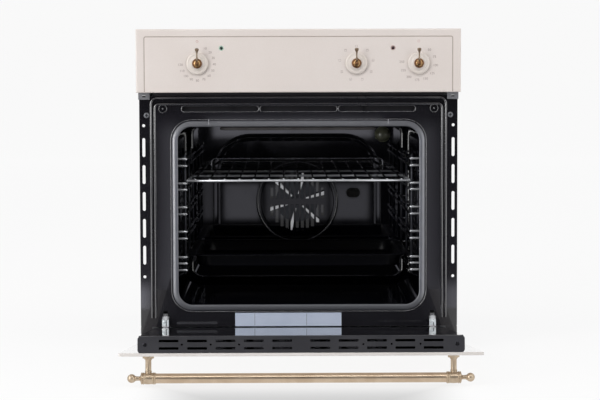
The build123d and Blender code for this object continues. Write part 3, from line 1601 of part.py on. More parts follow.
# Door cap: the moulded rail over the top edge, with two rows of air slots on each side
cap_group_x = (cap_centre_pitch + (cap_side_slots - 1) * cap_slot_pitch) / 2
with BuildPart() as door_top_cap:
    with BuildSketch(door_edge_plane(profile_top)):
        with Locations((0, -profile_middle_w)):
            RectangleRounded(door_frame_width, door_frame_thickness, cap_corner)
    extrude(amount=cap_height)
    with BuildSketch(door_edge_plane(profile_top)):
        with Locations((0, -profile_middle_w)):
            RectangleRounded(
                door_frame_width - 2 * cap_wall, door_frame_thickness - 2 * cap_wall,
                cap_corner - cap_wall)
    extrude(amount=cap_height - cap_wall, mode=Mode.SUBTRACT)
    with BuildSketch(door_edge_plane(door_top)):
        for side in (-1, 1):
            with Locations((side * cap_group_x, -profile_middle_w)):
                with GridLocations(cap_slot_pitch, cap_row_pitch, cap_side_slots, cap_row_count):
                    Rectangle(cap_slot_length, cap_slot_width)
            with Locations(*[(side * x, -profile_middle_w) for x in cap_hole_places]):
                RegularPolygon(cap_hole_radius, wire_faces)
    extrude(amount=-cap_wall, mode=Mode.SUBTRACT)
door_top_cap.part.label = "door_top_cap"
export_step(door_top_cap.part, "parts/door_top_cap.step")

# Door bottom rail: a channel between the side profiles that lets cool air in
rail_height = 18.0
rail_slot_length = 60.0
rail_slot_width = 8.0
rail_slot_pitch = 78.0
rail_slot_count = 6

with BuildPart() as door_bottom_rail:
    with BuildSketch(door_side_plane(0)):
        with Locations((door_heel + rail_height / 2, profile_middle_w)):
            Rectangle(rail_height, door_frame_thickness)
        with Locations((door_heel + rail_height / 2 + cap_wall, profile_middle_w)):
            Rectangle(rail_height, door_frame_thickness - 2 * cap_wall, mode=Mode.SUBTRACT)
    extrude(amount=profile_inner_x, both=True)
    with BuildSketch(door_edge_plane(door_heel)):
        with Locations((0, -profile_middle_w)):
            with GridLocations(rail_slot_pitch, 1, rail_slot_count, 1):
                Rectangle(rail_slot_length, rail_slot_width)
    extrude(amount=cap_wall, mode=Mode.SUBTRACT)
door_bottom_rail.part.label = "door_bottom_rail"
export_step(door_bottom_rail.part, "parts/door_bottom_rail.step")

# Door glasses: the inner pane flush with the profiles, and the middle pane behind it
glass_half = profile_inner_x - glass_play
glass_bottom = door_heel + rail_height

with BuildPart() as door_inner_glass:
    with BuildSketch(door_plane(door_inside)):
        with Locations((0, (profile_top + glass_bottom) / 2)):
            Rectangle(2 * glass_half, profile_top - glass_bottom)
    extrude(amount=inner_glass)
door_inner_glass.part.label = "door_inner_glass"
export_step(door_inner_glass.part, "parts/door_inner_glass.step")

with BuildPart() as door_middle_glass:
    with BuildSketch(door_plane(door_inside + inner_glass + middle_glass_gap)):
        with Locations((0, (profile_top + glass_bottom) / 2)):
            Rectangle(2 * glass_half, profile_top - glass_bottom)
    extrude(amount=inner_glass)
door_middle_glass.part.label = "door_middle_glass"
export_step(door_middle_glass.part, "parts/door_middle_glass.step")

# Handle: a round bar, turned ends with collars and ball finials, and two posts
handle_along = door_top - handle_drop
handle_out = door_outside + handle_reach
collar_start = handle_post_x - handle_collar_length / 2

with BuildPart() as handle_bar:
    with BuildSketch(door_side_plane(0)):
        with Locations((handle_along, handle_out)):
            Circle(handle_radius)
    extrude(amount=collar_start, both=True)
handle_bar.part.label = "handle_bar"
export_step(handle_bar.part, "parts/handle_bar.step")

finial_plane = door_side_plane(0).offset(collar_start)
finial_ball_start = finial_reach - finial_radius - collar_start

with BuildPart() as finial_ball:
    with BuildSketch():
        RegularPolygon(finial_radius, turned_faces)
    extrude(amount=2 * finial_radius)
    chamfer(finial_ball.edges().filter_by(Axis.Z, reverse=True), finial_radius / 2)

with BuildPart() as finial:
    with BuildSketch():
        RegularPolygon(handle_collar_radius, turned_faces)
    extrude(amount=handle_collar_length)
    chamfer(finial.edges().filter_by(Axis.Z, reverse=True), collar_bevel)
    with BuildSketch():
        RegularPolygon(finial_neck_radius, turned_faces)
    extrude(amount=finial_ball_start + finial_radius)
    with Locations((0, 0, finial_ball_start)):
        add(finial_ball.part)

with BuildPart() as handle_finials:
    with Locations(Plane(
            origin=finial_plane.from_local_coords((handle_along, handle_out, 0)),
            z_dir=(1, 0, 0)).location):
        add(finial.part)
    mirror(about=Plane.YZ)
handle_finials.part.label = "handle_finials"
export_step(handle_finials.part, "parts/handle_finials.step")

with BuildPart() as handle_posts:
    with BuildSketch(door_plane(door_outside)):
        with Locations((-handle_post_x, handle_along), (handle_post_x, handle_along)):
            RegularPolygon(handle_flange_radius, turned_faces)
    extrude(amount=handle_flange_height)
    with BuildSketch(door_plane(door_outside)):
        with Locations((-handle_post_x, handle_along), (handle_post_x, handle_along)):
            Circle(handle_post_radius)
    extrude(amount=handle_reach)
    with BuildSketch(door_side_plane(0)):
        with Locations((handle_along, handle_out)):
            Circle(handle_collar_radius + running_gap)
    extrude(amount=handle_post_x + handle_collar_length, both=True, mode=Mode.SUBTRACT)
handle_posts.part.label = "handle_posts"
export_step(handle_posts.part, "parts/handle_posts.step")
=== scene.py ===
"""Built-in oven: the looks of every piece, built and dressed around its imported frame.

X runs to the viewer's right, Y into the cabinet and Z up, with the origin in the middle of the base's
front edge. The door rests dropped open on its hinges. Shapes are worked out in millimetres and their
meshes are made in metres.
"""

import functools
import logging
import math
from collections.abc import Callable, Sequence
from dataclasses import dataclass, field
from enum import Enum

import bmesh
import bpy
import numpy as np
from mathutils import Matrix, Vector


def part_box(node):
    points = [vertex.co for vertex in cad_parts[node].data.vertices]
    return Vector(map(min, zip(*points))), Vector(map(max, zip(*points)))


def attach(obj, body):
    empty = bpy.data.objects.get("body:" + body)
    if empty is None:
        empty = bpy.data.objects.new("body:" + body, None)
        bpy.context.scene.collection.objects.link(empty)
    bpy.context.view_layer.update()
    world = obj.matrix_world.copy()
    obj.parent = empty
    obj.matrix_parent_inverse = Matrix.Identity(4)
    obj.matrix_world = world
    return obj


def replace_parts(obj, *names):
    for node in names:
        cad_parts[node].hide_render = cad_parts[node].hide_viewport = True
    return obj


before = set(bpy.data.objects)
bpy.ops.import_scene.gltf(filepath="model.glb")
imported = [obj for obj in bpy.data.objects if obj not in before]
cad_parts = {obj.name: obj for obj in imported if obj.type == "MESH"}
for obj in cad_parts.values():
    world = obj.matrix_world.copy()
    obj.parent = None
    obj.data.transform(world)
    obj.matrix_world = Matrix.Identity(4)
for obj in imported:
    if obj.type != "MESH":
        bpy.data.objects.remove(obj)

LOG = logging.getLogger("oven")
MM = 0.001
MERGE = 1e-6

Array = np.ndarray
Colour = tuple[float, float, float]
Point = Sequence[float]
Piece = bpy.types.Object
Socket = bpy.types.NodeSocket

TO_VIEWER = (0.0, -1.0, 0.0)
UP = (0.0, 0.0, 1.0)
ACROSS = (1.0, 0.0, 0.0)


class Side(Enum):
    """The two sides of the oven, as the sign of X."""

    LEFT = -1
    RIGHT = 1

    @property
    def word(self) -> str:
        """The side's name in a piece's name."""
        return self.name.lower()


class Grain(Enum):
    """The way a finish's fine lines run, as how tightly its noise is packed along each axis."""

    EVEN = (1.0, 1.0, 1.0)
    ALONG_X = (0.02, 1.0, 1.0)
    ROUND_X = (1.0, 0.04, 0.04)
    ALONG_Z = (1.0, 1.0, 0.02)


# Colours and shared shader effects


def tone(red: int, green: int, blue: int) -> Colour:
    """The linear colour of a screen colour whose parts run from 0 to 255."""
    parts = np.array([red, green, blue]) / 255
    linear = np.where(parts < 0.04045, parts / 12.92, ((parts + 0.055) / 1.055) ** 2.4)
    return tuple(float(part) for part in linear)


class Wiring:
    """Adds nodes to a tree and joins their sockets."""

    def __init__(self, tree: bpy.types.NodeTree) -> None:
        """Starts on an empty tree, which takes the nodes."""
        self.tree = tree
        self.count = 0

    def node(self, kind: str, **settings: object) -> bpy.types.Node:
        """A new node of a kind, with values for its own attributes."""
        node = self.tree.nodes.new(kind)
        node.location = (self.count * 180, 0)
        self.count += 1
        for name, value in settings.items():
            setattr(node, name, value)
        return node

    def feed(self, value: Socket | float | Sequence[float], socket: Socket) -> None:
        """Joins another node's output to a socket, or sets the socket's own value."""
        if isinstance(value, bpy.types.NodeSocket):
            self.tree.links.new(value, socket)
        else:
            socket.default_value = value

    def maths(self, operation: str, first: Socket | float, second: Socket | float = 0.0) -> Socket:
        """The result of one operation, such as ADD, on two values."""
        node = self.node("ShaderNodeMath", operation=operation)
        self.feed(first, node.inputs[0])
        self.feed(second, node.inputs[1])
        return node.outputs[0]

    def times(self, first: Socket | float, second: Socket | float) -> Socket:
        """The product of two values."""
        return self.maths("MULTIPLY", first, second)

    def place(self) -> Socket:
        """The place on the object, which is also the place in the oven's axes."""
        return self.node("ShaderNodeTexCoord").outputs["Object"]

    def parts(self, vector: Socket) -> Sequence[Socket]:
        """The three parts of a vector."""
        node = self.node("ShaderNodeSeparateXYZ")
        self.feed(vector, node.inputs[0])
        return node.outputs

    def noise(self, place: Socket, scale: Socket | float, detail: float, distortion: float = 0.0) -> Socket:
        """A cloudy noise from 0 to 1, with its features over a metre, its finer layers and its bend."""
        node = self.node("ShaderNodeTexNoise")
        values = {"Vector": place, "Scale": scale, "Detail": detail, "Distortion": distortion}
        for title, value in values.items():
            self.feed(value, node.inputs[title])
        return node.outputs["Fac"]

    def blend(self, share: Socket | float, first: Socket | Colour, second: Socket | Colour) -> Socket:
        """Two colours mixed by a share that runs from 0, all first, to 1, all second."""
        node = self.node("ShaderNodeMix", data_type="RGBA")
        self.feed(share, node.inputs[0])
        for value, socket in ((first, node.inputs[6]), (second, node.inputs[7])):
            self.feed(value if isinstance(value, bpy.types.NodeSocket) else (*value, 1.0), socket)
        return node.outputs[2]

    def window(self, value: Socket, low: float, high: float) -> Socket:
        """Stretches the values between low and high over 0 to 1, smoothly, and holds the rest."""
        node = self.node("ShaderNodeMapRange", interpolation_type="SMOOTHSTEP")
        self.feed(value, node.inputs[0])
        node.inputs[1].default_value = low
        node.inputs[2].default_value = high
        return node.outputs[0]


def new_group(name: str, inputs: dict[str, str], outputs: dict[str, str]) -> tuple[Wiring, dict, dict]:
    """Starts a shared node group.

    Args:
        name: The group's name.
        inputs: Socket types by input name.
        outputs: Socket types by output name.

    Returns:
        The group's wiring, its inner input sockets and its inner output sockets, both by name.
    """
    tree = bpy.data.node_groups.new(name, "ShaderNodeTree")
    for way, sockets in (("INPUT", inputs), ("OUTPUT", outputs)):
        for title, kind in sockets.items():
            tree.interface.new_socket(title, in_out=way, socket_type=kind)
    wiring = Wiring(tree)
    enter, leave = wiring.node("NodeGroupInput"), wiring.node("NodeGroupOutput")
    return wiring, {s.name: s for s in enter.outputs}, {s.name: s for s in leave.inputs}


@functools.cache
def mottle_group() -> bpy.types.NodeTree:
    """Soft patches, fine specks and crystal patches over a piece, each from 0 to 1."""
    number = "NodeSocketFloat"
    wiring, given, result = new_group(
        "mottle", {"Patch Scale": number, "Speck Scale": number},
        {"Patches": number, "Specks": number, "Crystals": number})
    place = wiring.place()
    for title, scale, detail in (("Patches", "Patch Scale", 3.0), ("Specks", "Speck Scale", 1.0)):
        wiring.feed(wiring.window(wiring.noise(place, given[scale], detail), 0.3, 0.7), result[title])
    cells = wiring.node("ShaderNodeTexVoronoi")
    wiring.feed(place, cells.inputs["Vector"])
    wiring.feed(given["Patch Scale"], cells.inputs["Scale"])
    shade = wiring.node("ShaderNodeSeparateColor")
    wiring.feed(cells.outputs["Color"], shade.inputs[0])
    wiring.feed(shade.outputs[0], result["Crystals"])
    return wiring.tree


@functools.cache
def grain_group() -> bpy.types.NodeTree:
    """Fine lines: a noise packed tightly across their run and loosely along it."""
    wiring, given, result = new_group(
        "grain", {"Scale": "NodeSocketFloat", "Packing": "NodeSocketVector"},
        {"Lines": "NodeSocketFloat"})
    packed = wiring.node("ShaderNodeVectorMath", operation="MULTIPLY")
    wiring.feed(wiring.place(), packed.inputs[0])
    wiring.feed(given["Packing"], packed.inputs[1])
    wiring.feed(wiring.noise(packed.outputs[0], given["Scale"], 2.0), result["Lines"])
    return wiring.tree


@functools.cache
def smudge_group() -> bpy.types.NodeTree:
    """Where hands and cloths have left a surface duller, from 0 to 1."""
    wiring, given, result = new_group(
        "smudge", {"Scale": "NodeSocketFloat"}, {"Mask": "NodeSocketFloat"})
    noise = wiring.noise(wiring.place(), given["Scale"], 5.0, 0.6)
    wiring.feed(wiring.window(noise, 0.42, 0.72), result["Mask"])
    return wiring.tree


@functools.cache
def edge_group() -> bpy.types.NodeTree:
    """Softened edges: the normal of an edge rounded by a radius, and a mask of where it turns."""
    wiring, given, result = new_group(
        "edges", {"Radius": "NodeSocketFloat"},
        {"Normal": "NodeSocketVector", "Mask": "NodeSocketFloat"})
    bevel = wiring.node("ShaderNodeBevel", samples=4)
    wiring.feed(given["Radius"], bevel.inputs["Radius"])
    surface = wiring.node("ShaderNodeNewGeometry")
    agree = wiring.node("ShaderNodeVectorMath", operation="DOT_PRODUCT")
    wiring.feed(bevel.outputs[0], agree.inputs[0])
    wiring.feed(surface.outputs["Normal"], agree.inputs[1])
    turn = wiring.maths("SUBTRACT", 1.0, agree.outputs["Value"])
    wiring.feed(wiring.window(turn, 0.02, 0.25), result["Mask"])
    wiring.feed(bevel.outputs[0], result["Normal"])
    return wiring.tree


@functools.cache
def dust_group() -> bpy.types.NodeTree:
    """Where dust settles: faces that look up, broken up by a fine noise."""
    wiring, _, result = new_group("dust", {}, {"Mask": "NodeSocketFloat"})
    surface = wiring.node("ShaderNodeNewGeometry")
    level = wiring.window(wiring.parts(surface.outputs["Normal"])[2], 0.4, 1.0)
    specks = wiring.window(wiring.noise(wiring.place(), 260.0, 4.0), 0.45, 0.75)
    wiring.feed(wiring.times(level, specks), result["Mask"])
    return wiring.tree


# Finishes


@dataclass(frozen=True)
class Finish:
    """How a material looks: its colours, shine, grain and small faults, with painted shade outside a lit
    band of heights where a finish sets one.

    Heights are in millimetres and scales count features over a metre.
    """

    name: str
    slot: str
    colour: Colour
    patch: Colour
    patch_share: float = 0.6
    patch_scale: float = 25.0
    speck: Colour = (0.5, 0.5, 0.5)
    speck_share: float = 0.0
    speck_scale: float = 900.0
    crystals: bool = False
    roughness: float = 0.3
    roughness_spread: float = 0.1
    smudge_scale: float = 12.0
    metallic: float = 0.0
    coat: float = 0.0
    coat_roughness: float = 0.05
    transmission: float = 0.0
    refraction: float = 1.5
    grain: Grain = Grain.EVEN
    grain_scale: float = 1500.0
    grain_height: float = 0.0
    grain_colour_share: float = 0.0
    ripple_height: float = 0.0
    ripple_scale: float = 120.0
    edge_radius: float = 0.4
    # Lighter colour flecked along edges: part wear, part painted highlight.
    wear: float = 0.0
    wear_and_edge_highlight_colour: Colour = (0.6, 0.6, 0.6)
    dust: float = 0.0
    dust_colour: Colour = (0.35, 0.34, 0.32)
    # Outside these heights the finish is painted darker, duller and with less coat: painted shade.
    lit_band_heights: tuple[float, float] | None = None
    lit_band_soft: float = 16.0
    lit_band_left: float = 0.12

    @functools.cache
    def material(self) -> bpy.types.Material:
        """The finish's material, built once."""
        material = bpy.data.materials.new(self.name)
        material.use_nodes = True
        material.node_tree.nodes.clear()
        wiring = Wiring(material.node_tree)
        mottle = self._group(wiring, mottle_group(), self.patch_scale, self.speck_scale)
        grain = self._group(wiring, grain_group(), self.grain_scale, self.grain.value)
        smudge = self._group(wiring, smudge_group(), self.smudge_scale)
        edges = self._group(wiring, edge_group(), self.edge_radius * MM) if self.edge_radius else None

        patches = mottle.outputs["Crystals" if self.crystals else "Patches"]
        colour = wiring.blend(wiring.times(patches, self.patch_share), self.colour, self.patch)
        if self.grain_colour_share:
            share = wiring.times(grain.outputs["Lines"], self.grain_colour_share)
            colour = wiring.blend(share, colour, self.patch)
        if self.speck_share:
            share = wiring.times(mottle.outputs["Specks"], self.speck_share)
            colour = wiring.blend(share, colour, self.speck)
        # Edges turn lighter where specks fall: part wear, part painted highlight.
        if self.wear and edges:
            edge_wear_and_highlight = wiring.times(edges.outputs["Mask"], mottle.outputs["Specks"])
            colour = wiring.blend(wiring.times(edge_wear_and_highlight, self.wear), colour, self.wear_and_edge_highlight_colour)
        dull = wiring.times(smudge.outputs["Mask"], self.roughness_spread)
        roughness = wiring.maths("ADD", dull, self.roughness)
        if self.dust:
            settled = self._group(wiring, dust_group()).outputs["Mask"]
            colour = wiring.blend(wiring.times(settled, self.dust), colour, self.dust_colour)
            roughness = wiring.maths("ADD", roughness, wiring.times(settled, self.dust * 0.4))

        shader = wiring.node("ShaderNodeBsdfPrincipled")
        for title, value in (
            ("Coat Weight", self.coat), ("Metallic", self.metallic), ("IOR", self.refraction),
            ("Transmission Weight", self.transmission), ("Coat Roughness", self.coat_roughness),
        ):
            shader.inputs[title].default_value = value
        # Painted shade: outside the lit band of heights the colour turns to the darker patch colour, rougher
        # and with less coat.
        if self.lit_band_heights:
            lit_band = self._painted_lit_band(wiring)
            colour = wiring.blend(lit_band, self.patch, colour)
            unlit = wiring.maths("SUBTRACT", 0.4, wiring.times(lit_band, 0.4))
            roughness = wiring.maths("ADD", roughness, unlit)
            wiring.feed(wiring.times(lit_band, self.coat), shader.inputs["Coat Weight"])
        wiring.feed(colour, shader.inputs["Base Color"])
        wiring.feed(roughness, shader.inputs["Roughness"])
        wiring.feed(self._relief(wiring, grain, edges), shader.inputs["Normal"])
        leave = wiring.node("ShaderNodeOutputMaterial")
        wiring.feed(shader.outputs[0], leave.inputs["Surface"])
        return material

    def _group(self, wiring: Wiring, tree: bpy.types.NodeTree, *values: float | Point) -> bpy.types.Node:
        """Puts a shared group into the material, with its inputs' values in their order."""
        node = wiring.node("ShaderNodeGroup", node_tree=tree)
        for socket, value in zip(node.inputs, values):
            socket.default_value = value
        return node

    def _painted_lit_band(self, wiring: Wiring) -> Socket:
        """Painted shade mask: one between the two lit heights, falling softly to the share left outside
        them.
        """
        up = wiring.parts(wiring.place())[2]
        low, high = (height * MM for height in self.lit_band_heights)
        soft = self.lit_band_soft * MM
        inside = wiring.maths("SUBTRACT", wiring.window(up, low - soft, low + soft),
                              wiring.window(up, high - soft, high + soft))
        return wiring.maths("ADD", wiring.times(inside, 1 - self.lit_band_left), self.lit_band_left)

    def _relief(self, wiring: Wiring, grain: bpy.types.Node, edges: bpy.types.Node | None) -> Socket:
        """The surface's fine relief on top of its softened edges.

        Args:
            wiring: The material's wiring.
            grain: The grain group's node.
            edges: The softened edges' node, if there is one.

        Returns:
            The normal's socket.
        """
        waves = wiring.times(wiring.noise(wiring.place(), self.ripple_scale, 2.0), self.ripple_height)
        lines = wiring.times(grain.outputs["Lines"], self.grain_height)
        bump = wiring.node("ShaderNodeBump")
        bump.inputs["Distance"].default_value = MM
        wiring.feed(wiring.maths("ADD", waves, lines), bump.inputs["Height"])
        if edges:
            wiring.feed(edges.outputs["Normal"], bump.inputs["Normal"])
        return bump.outputs[0]


CREAM_ENAMEL = Finish(
    "cream_enamel", "enamel_cream", tone(235, 226, 221), tone(229, 219, 213), patch_scale=8,
    speck=tone(212, 200, 190), speck_share=0.12, roughness=0.34, roughness_spread=0.08, coat=0.25,
    coat_roughness=0.2, ripple_height=0.02, ripple_scale=260)
# Part printed line colour, part painted shade of the engraved groove.
LINE_PAINT_AND_SHADE = Finish(
    "engraved_line", "enamel_cream", tone(178, 163, 154), tone(160, 146, 138), patch_scale=60,
    roughness=0.5, edge_radius=0, ripple_height=0.01)
LEGEND_INK = Finish(
    "legend_ink", "enamel_cream", tone(160, 144, 140), tone(172, 156, 150), patch_scale=300,
    roughness=0.55, edge_radius=0, ripple_height=0.01)
LEGEND_RED = Finish(
    "legend_red", "enamel_cream", tone(196, 150, 142), tone(184, 140, 132), patch_scale=300,
    roughness=0.55, edge_radius=0, ripple_height=0.01)
KNOB_CREAM = Finish(
    "knob_cream", "knob_cream", tone(234, 225, 218), tone(228, 218, 209), patch_scale=40,
    roughness=0.36, roughness_spread=0.1, coat=0.3, coat_roughness=0.2, ripple_height=0.015,
    ripple_scale=400, speck=tone(200, 188, 172), speck_share=0.1)
BLACK_ENAMEL = Finish(
    "black_enamel", "black_enamel", tone(13, 12, 16), tone(20, 19, 25), patch_scale=14,
    speck=tone(44, 43, 50), speck_share=0.18, roughness=0.16, roughness_spread=0.1, coat=1,
    coat_roughness=0.03, ripple_height=0.008, ripple_scale=90, edge_radius=1.0, dust=0.08)
# Painted highlight: a lighter, bluer copy of the black enamel with a strong mirror, so the frame's ridges
# and rims read as lit lines.
LIT_ENAMEL_EDGE = Finish(
    "enamel_edge_painted_highlight", "black_enamel", tone(34, 34, 42), tone(26, 26, 33), patch_scale=30,
    speck=tone(60, 60, 70), speck_share=0.2, roughness=0.2, roughness_spread=0.1, coat=1,
    coat_roughness=0.12, refraction=2.4, edge_radius=0, ripple_height=0.006)
ENAMEL_FOLD = Finish(
    "enamel_fold", "black_enamel", tone(30, 28, 33), tone(24, 23, 28), patch_scale=20,
    roughness=0.4, roughness_spread=0.1, coat=0.3, edge_radius=0, ripple_height=0.006)
ENAMEL_DULL = Finish(
    "enamel_dull", "black_enamel", tone(50, 50, 56), tone(40, 40, 46), patch_scale=30,
    roughness=0.5, roughness_spread=0.1, edge_radius=0, ripple_height=0.006)
# Painted highlight: a lighter copy of the cavity enamel with a strong mirror, so the fan well's rim reads as
# a lit ring.
LIT_CAVITY_EDGE = Finish(
    "cavity_edge_painted_highlight", "cavity_enamel", tone(14, 15, 24), tone(10, 11, 18), patch_scale=30,
    speck=tone(44, 46, 62), speck_share=0.2, roughness=0.12, roughness_spread=0.08, coat=1,
    coat_roughness=0.05, refraction=2.2, edge_radius=0, ripple_height=0.006)
CAVITY_ENAMEL = Finish(
    "cavity_enamel", "cavity_enamel", tone(4, 4, 9), tone(8, 8, 16), patch_scale=10,
    speck=tone(26, 29, 44), speck_share=0.25, speck_scale=1400, roughness=0.035,
    roughness_spread=0.03, coat=1, coat_roughness=0.02, ripple_height=0.006, ripple_scale=60,
    edge_radius=1.2)
TRAY_ENAMEL = Finish(
    "tray_enamel", "cavity_enamel", tone(6, 6, 10), tone(4, 4, 7), patch_scale=10,
    speck=tone(20, 22, 30), speck_share=0.2, speck_scale=1400, roughness=0.3,
    roughness_spread=0.08, refraction=1.25, ripple_height=0.006, edge_radius=0)
GALVANISED = Finish(
    "galvanised_sheet", "galvanised", tone(186, 189, 192), tone(150, 154, 159), patch_share=0.8,
    patch_scale=110, crystals=True, metallic=1, roughness=0.36, roughness_spread=0.14,
    ripple_height=0.02, ripple_scale=60, wear=0.3, wear_and_edge_highlight_colour=tone(222, 224, 226), dust=0.2)
ZINC_BRIGHT = Finish(
    "zinc_bright", "zinc", tone(232, 239, 242), tone(198, 207, 212), patch_share=0.7,
    patch_scale=160, metallic=0.2, roughness=0.24, roughness_spread=0.12, coat=0.6,
    edge_radius=0.3, ripple_height=0.02, ripple_scale=300, wear=0.4, wear_and_edge_highlight_colour=tone(244, 246, 248))
ZINC = Finish(
    "zinc_plate", "zinc", tone(206, 207, 209), tone(176, 178, 184), patch_scale=60, metallic=1,
    roughness=0.26, roughness_spread=0.15, grain=Grain.ALONG_Z, grain_height=0.008,
    grain_colour_share=0.2, ripple_height=0.015, wear=0.5, wear_and_edge_highlight_colour=tone(236, 236, 238))
DULL_ZINC = Finish(
    "dull_zinc", "zinc", tone(140, 141, 146), tone(112, 113, 120), patch_scale=90, metallic=0.25,
    roughness=0.45, roughness_spread=0.15, speck=tone(170, 171, 176), speck_share=0.3,
    ripple_height=0.015, wear=0.5, wear_and_edge_highlight_colour=tone(206, 206, 210))
# Painted shade: the blower housing's galvanised sheet painted near black, as the shade inside the frame's
# vents.
SHADED_SHEET = Finish(
    "sheet_painted_shade", "galvanised", tone(24, 25, 30), tone(17, 18, 23), patch_scale=110,
    crystals=True, metallic=0.8, roughness=0.45, roughness_spread=0.14, ripple_height=0.02,
    ripple_scale=60, dust=0.15)
# Painted shade: a dark copy of the chrome for the ladders' uprights and pins.
WIRE_SHADE = Finish(
    "wire_painted_shade", "wire_chrome", tone(70, 71, 76), tone(50, 51, 58), patch_scale=50,
    metallic=0.9, roughness=0.34, roughness_spread=0.14, ripple_height=0.01, edge_radius=0)
# Painted highlight: a bright, near-white copy of the chrome for the rack's bars and a sleeve over the
# ladders' front stubs.
WIRE_HIGHLIGHT = Finish(
    "wire_painted_highlight", "wire_chrome", tone(226, 228, 232), tone(204, 206, 212), patch_scale=50,
    metallic=0.5, roughness=0.2, roughness_spread=0.1, coat=1, coat_roughness=0.08, refraction=2.0,
    ripple_height=0.01, edge_radius=0)
SPRING_STEEL = Finish(
    "spring_steel", "spring_steel", tone(150, 150, 153), tone(112, 112, 118), patch_scale=80,
    metallic=1, roughness=0.3, roughness_spread=0.15, ripple_height=0.01, dust=0.1)
WIRE_CHROME = Finish(
    "wire_chrome", "wire_chrome", tone(226, 227, 231), tone(196, 198, 206), patch_scale=50,
    metallic=1, roughness=0.13, roughness_spread=0.12, ripple_height=0.02, ripple_scale=200,
    edge_radius=0, speck=tone(160, 160, 166), speck_share=0.1)
ANTIQUE_BRASS = Finish(
    "antique_brass", "antique_brass", tone(222, 203, 180), tone(176, 150, 122), patch_share=0.4,
    patch_scale=45, metallic=1, roughness=0.3, roughness_spread=0.12, grain=Grain.ROUND_X,
    grain_scale=2600, grain_height=0.012, grain_colour_share=0.45, edge_radius=0.3, wear=0.6,
    wear_and_edge_highlight_colour=tone(236, 208, 160))
BRASS_SATIN = Finish(
    "brass_satin", "antique_brass", tone(208, 192, 170), tone(170, 148, 124), patch_share=0.5,
    patch_scale=90, metallic=1, roughness=0.36, roughness_spread=0.12, grain=Grain.ROUND_X,
    grain_scale=2600, grain_height=0.01, grain_colour_share=0.5, edge_radius=0.3, wear=0.5,
    wear_and_edge_highlight_colour=tone(230, 208, 172))
BRASS_TURNED = Finish(
    "brass_turned", "antique_brass", tone(184, 150, 108), tone(140, 104, 68), patch_share=0.5,
    patch_scale=140, metallic=1, roughness=0.24, roughness_spread=0.12, grain_height=0.006,
    edge_radius=0.2, wear=0.6, wear_and_edge_highlight_colour=tone(246, 218, 160))
BRASS_PATINA = Finish(
    "brass_patina", "antique_brass", tone(120, 84, 56), tone(150, 110, 72), patch_share=0.5,
    patch_scale=220, metallic=0.7, roughness=0.38, roughness_spread=0.15, grain_height=0.006,
    edge_radius=0.2, wear=0.5, wear_and_edge_highlight_colour=tone(190, 150, 98))
BRASS_AGED = Finish(
    "brass_aged", "antique_brass", tone(150, 134, 116), tone(92, 70, 52), patch_share=0.7,
    patch_scale=160, metallic=1, roughness=0.34, roughness_spread=0.15, grain_height=0.006,
    edge_radius=0.2, wear=0.5, wear_and_edge_highlight_colour=tone(206, 178, 136))
OUTER_GLASS = Finish(
    "outer_panel", "outer_glass", tone(226, 221, 217), tone(216, 210, 205), patch_scale=6,
    roughness=0.12, roughness_spread=0.1, coat=1, coat_roughness=0.02, edge_radius=0.5,
    ripple_height=0.004)
PANEL_PRINT = Finish(
    "panel_print", "outer_glass", tone(126, 125, 127), tone(104, 103, 107), patch_scale=12,
    roughness=0.75, roughness_spread=0.1, refraction=1.01, edge_radius=0, ripple_height=0.01)
INNER_GLASS = Finish(
    "inner_pane", "inner_glass", tone(34, 36, 40), tone(28, 30, 34), patch_scale=6,
    roughness=0.0, roughness_spread=0.06, transmission=0.9, refraction=1.52, edge_radius=0,
    smudge_scale=8)
LAMP_GLASS = Finish(
    "lamp_glass", "lamp_glass", tone(206, 208, 176), tone(190, 192, 158), patch_scale=80,
    roughness=0.05, roughness_spread=0.08, transmission=0.5, refraction=1.9, coat=1,
    coat_roughness=0.02, edge_radius=0, ripple_height=0.03, ripple_scale=160)
LENS_GREEN = Finish(
    "lens_green", "lens_green", tone(8, 50, 38), tone(5, 34, 26), patch_scale=500,
    roughness=0.12, coat=1, edge_radius=0, ripple_height=0.02, ripple_scale=500)
LENS_RED = Finish(
    "lens_red", "lens_red", tone(60, 14, 15), tone(40, 9, 10), patch_scale=500,
    roughness=0.12, coat=1, edge_radius=0, ripple_height=0.02, ripple_scale=500)
GREEN_RIM = Finish(
    "lens_rim_green", "lens_green", tone(196, 218, 202), tone(176, 204, 186), patch_scale=500,
    roughness=0.2, coat=0.6, edge_radius=0)
RED_RIM = Finish(
    "lens_rim_red", "lens_red", tone(196, 172, 166), tone(176, 150, 144), patch_scale=500,
    roughness=0.2, coat=0.6, edge_radius=0)
# The gasket's runs above and below its lit band of heights are painted darker: painted shade.
GASKET = Finish(
    "gasket_braid", "gasket_grey", tone(92, 95, 108), tone(40, 43, 54), patch_share=0.4,
    patch_scale=60, speck=tone(44, 47, 60), speck_share=0.4, speck_scale=1100, roughness=0.36, coat=1,
    coat_roughness=0.22, refraction=2.4, roughness_spread=0.12, grain_scale=900, grain_height=0.06,
    ripple_height=0.1, ripple_scale=60, edge_radius=0, lit_band_heights=(100.0, 404.0))
LABEL = Finish(
    "label_film", "label_film", tone(206, 216, 236), tone(194, 205, 226), patch_scale=30,
    roughness=0.3, roughness_spread=0.15, coat=0.4, edge_radius=0, ripple_height=0.02)
LABEL_LINE = Finish(
    "label_line", "label_film", tone(96, 104, 124), tone(84, 92, 112), patch_scale=100,
    roughness=0.5, edge_radius=0)
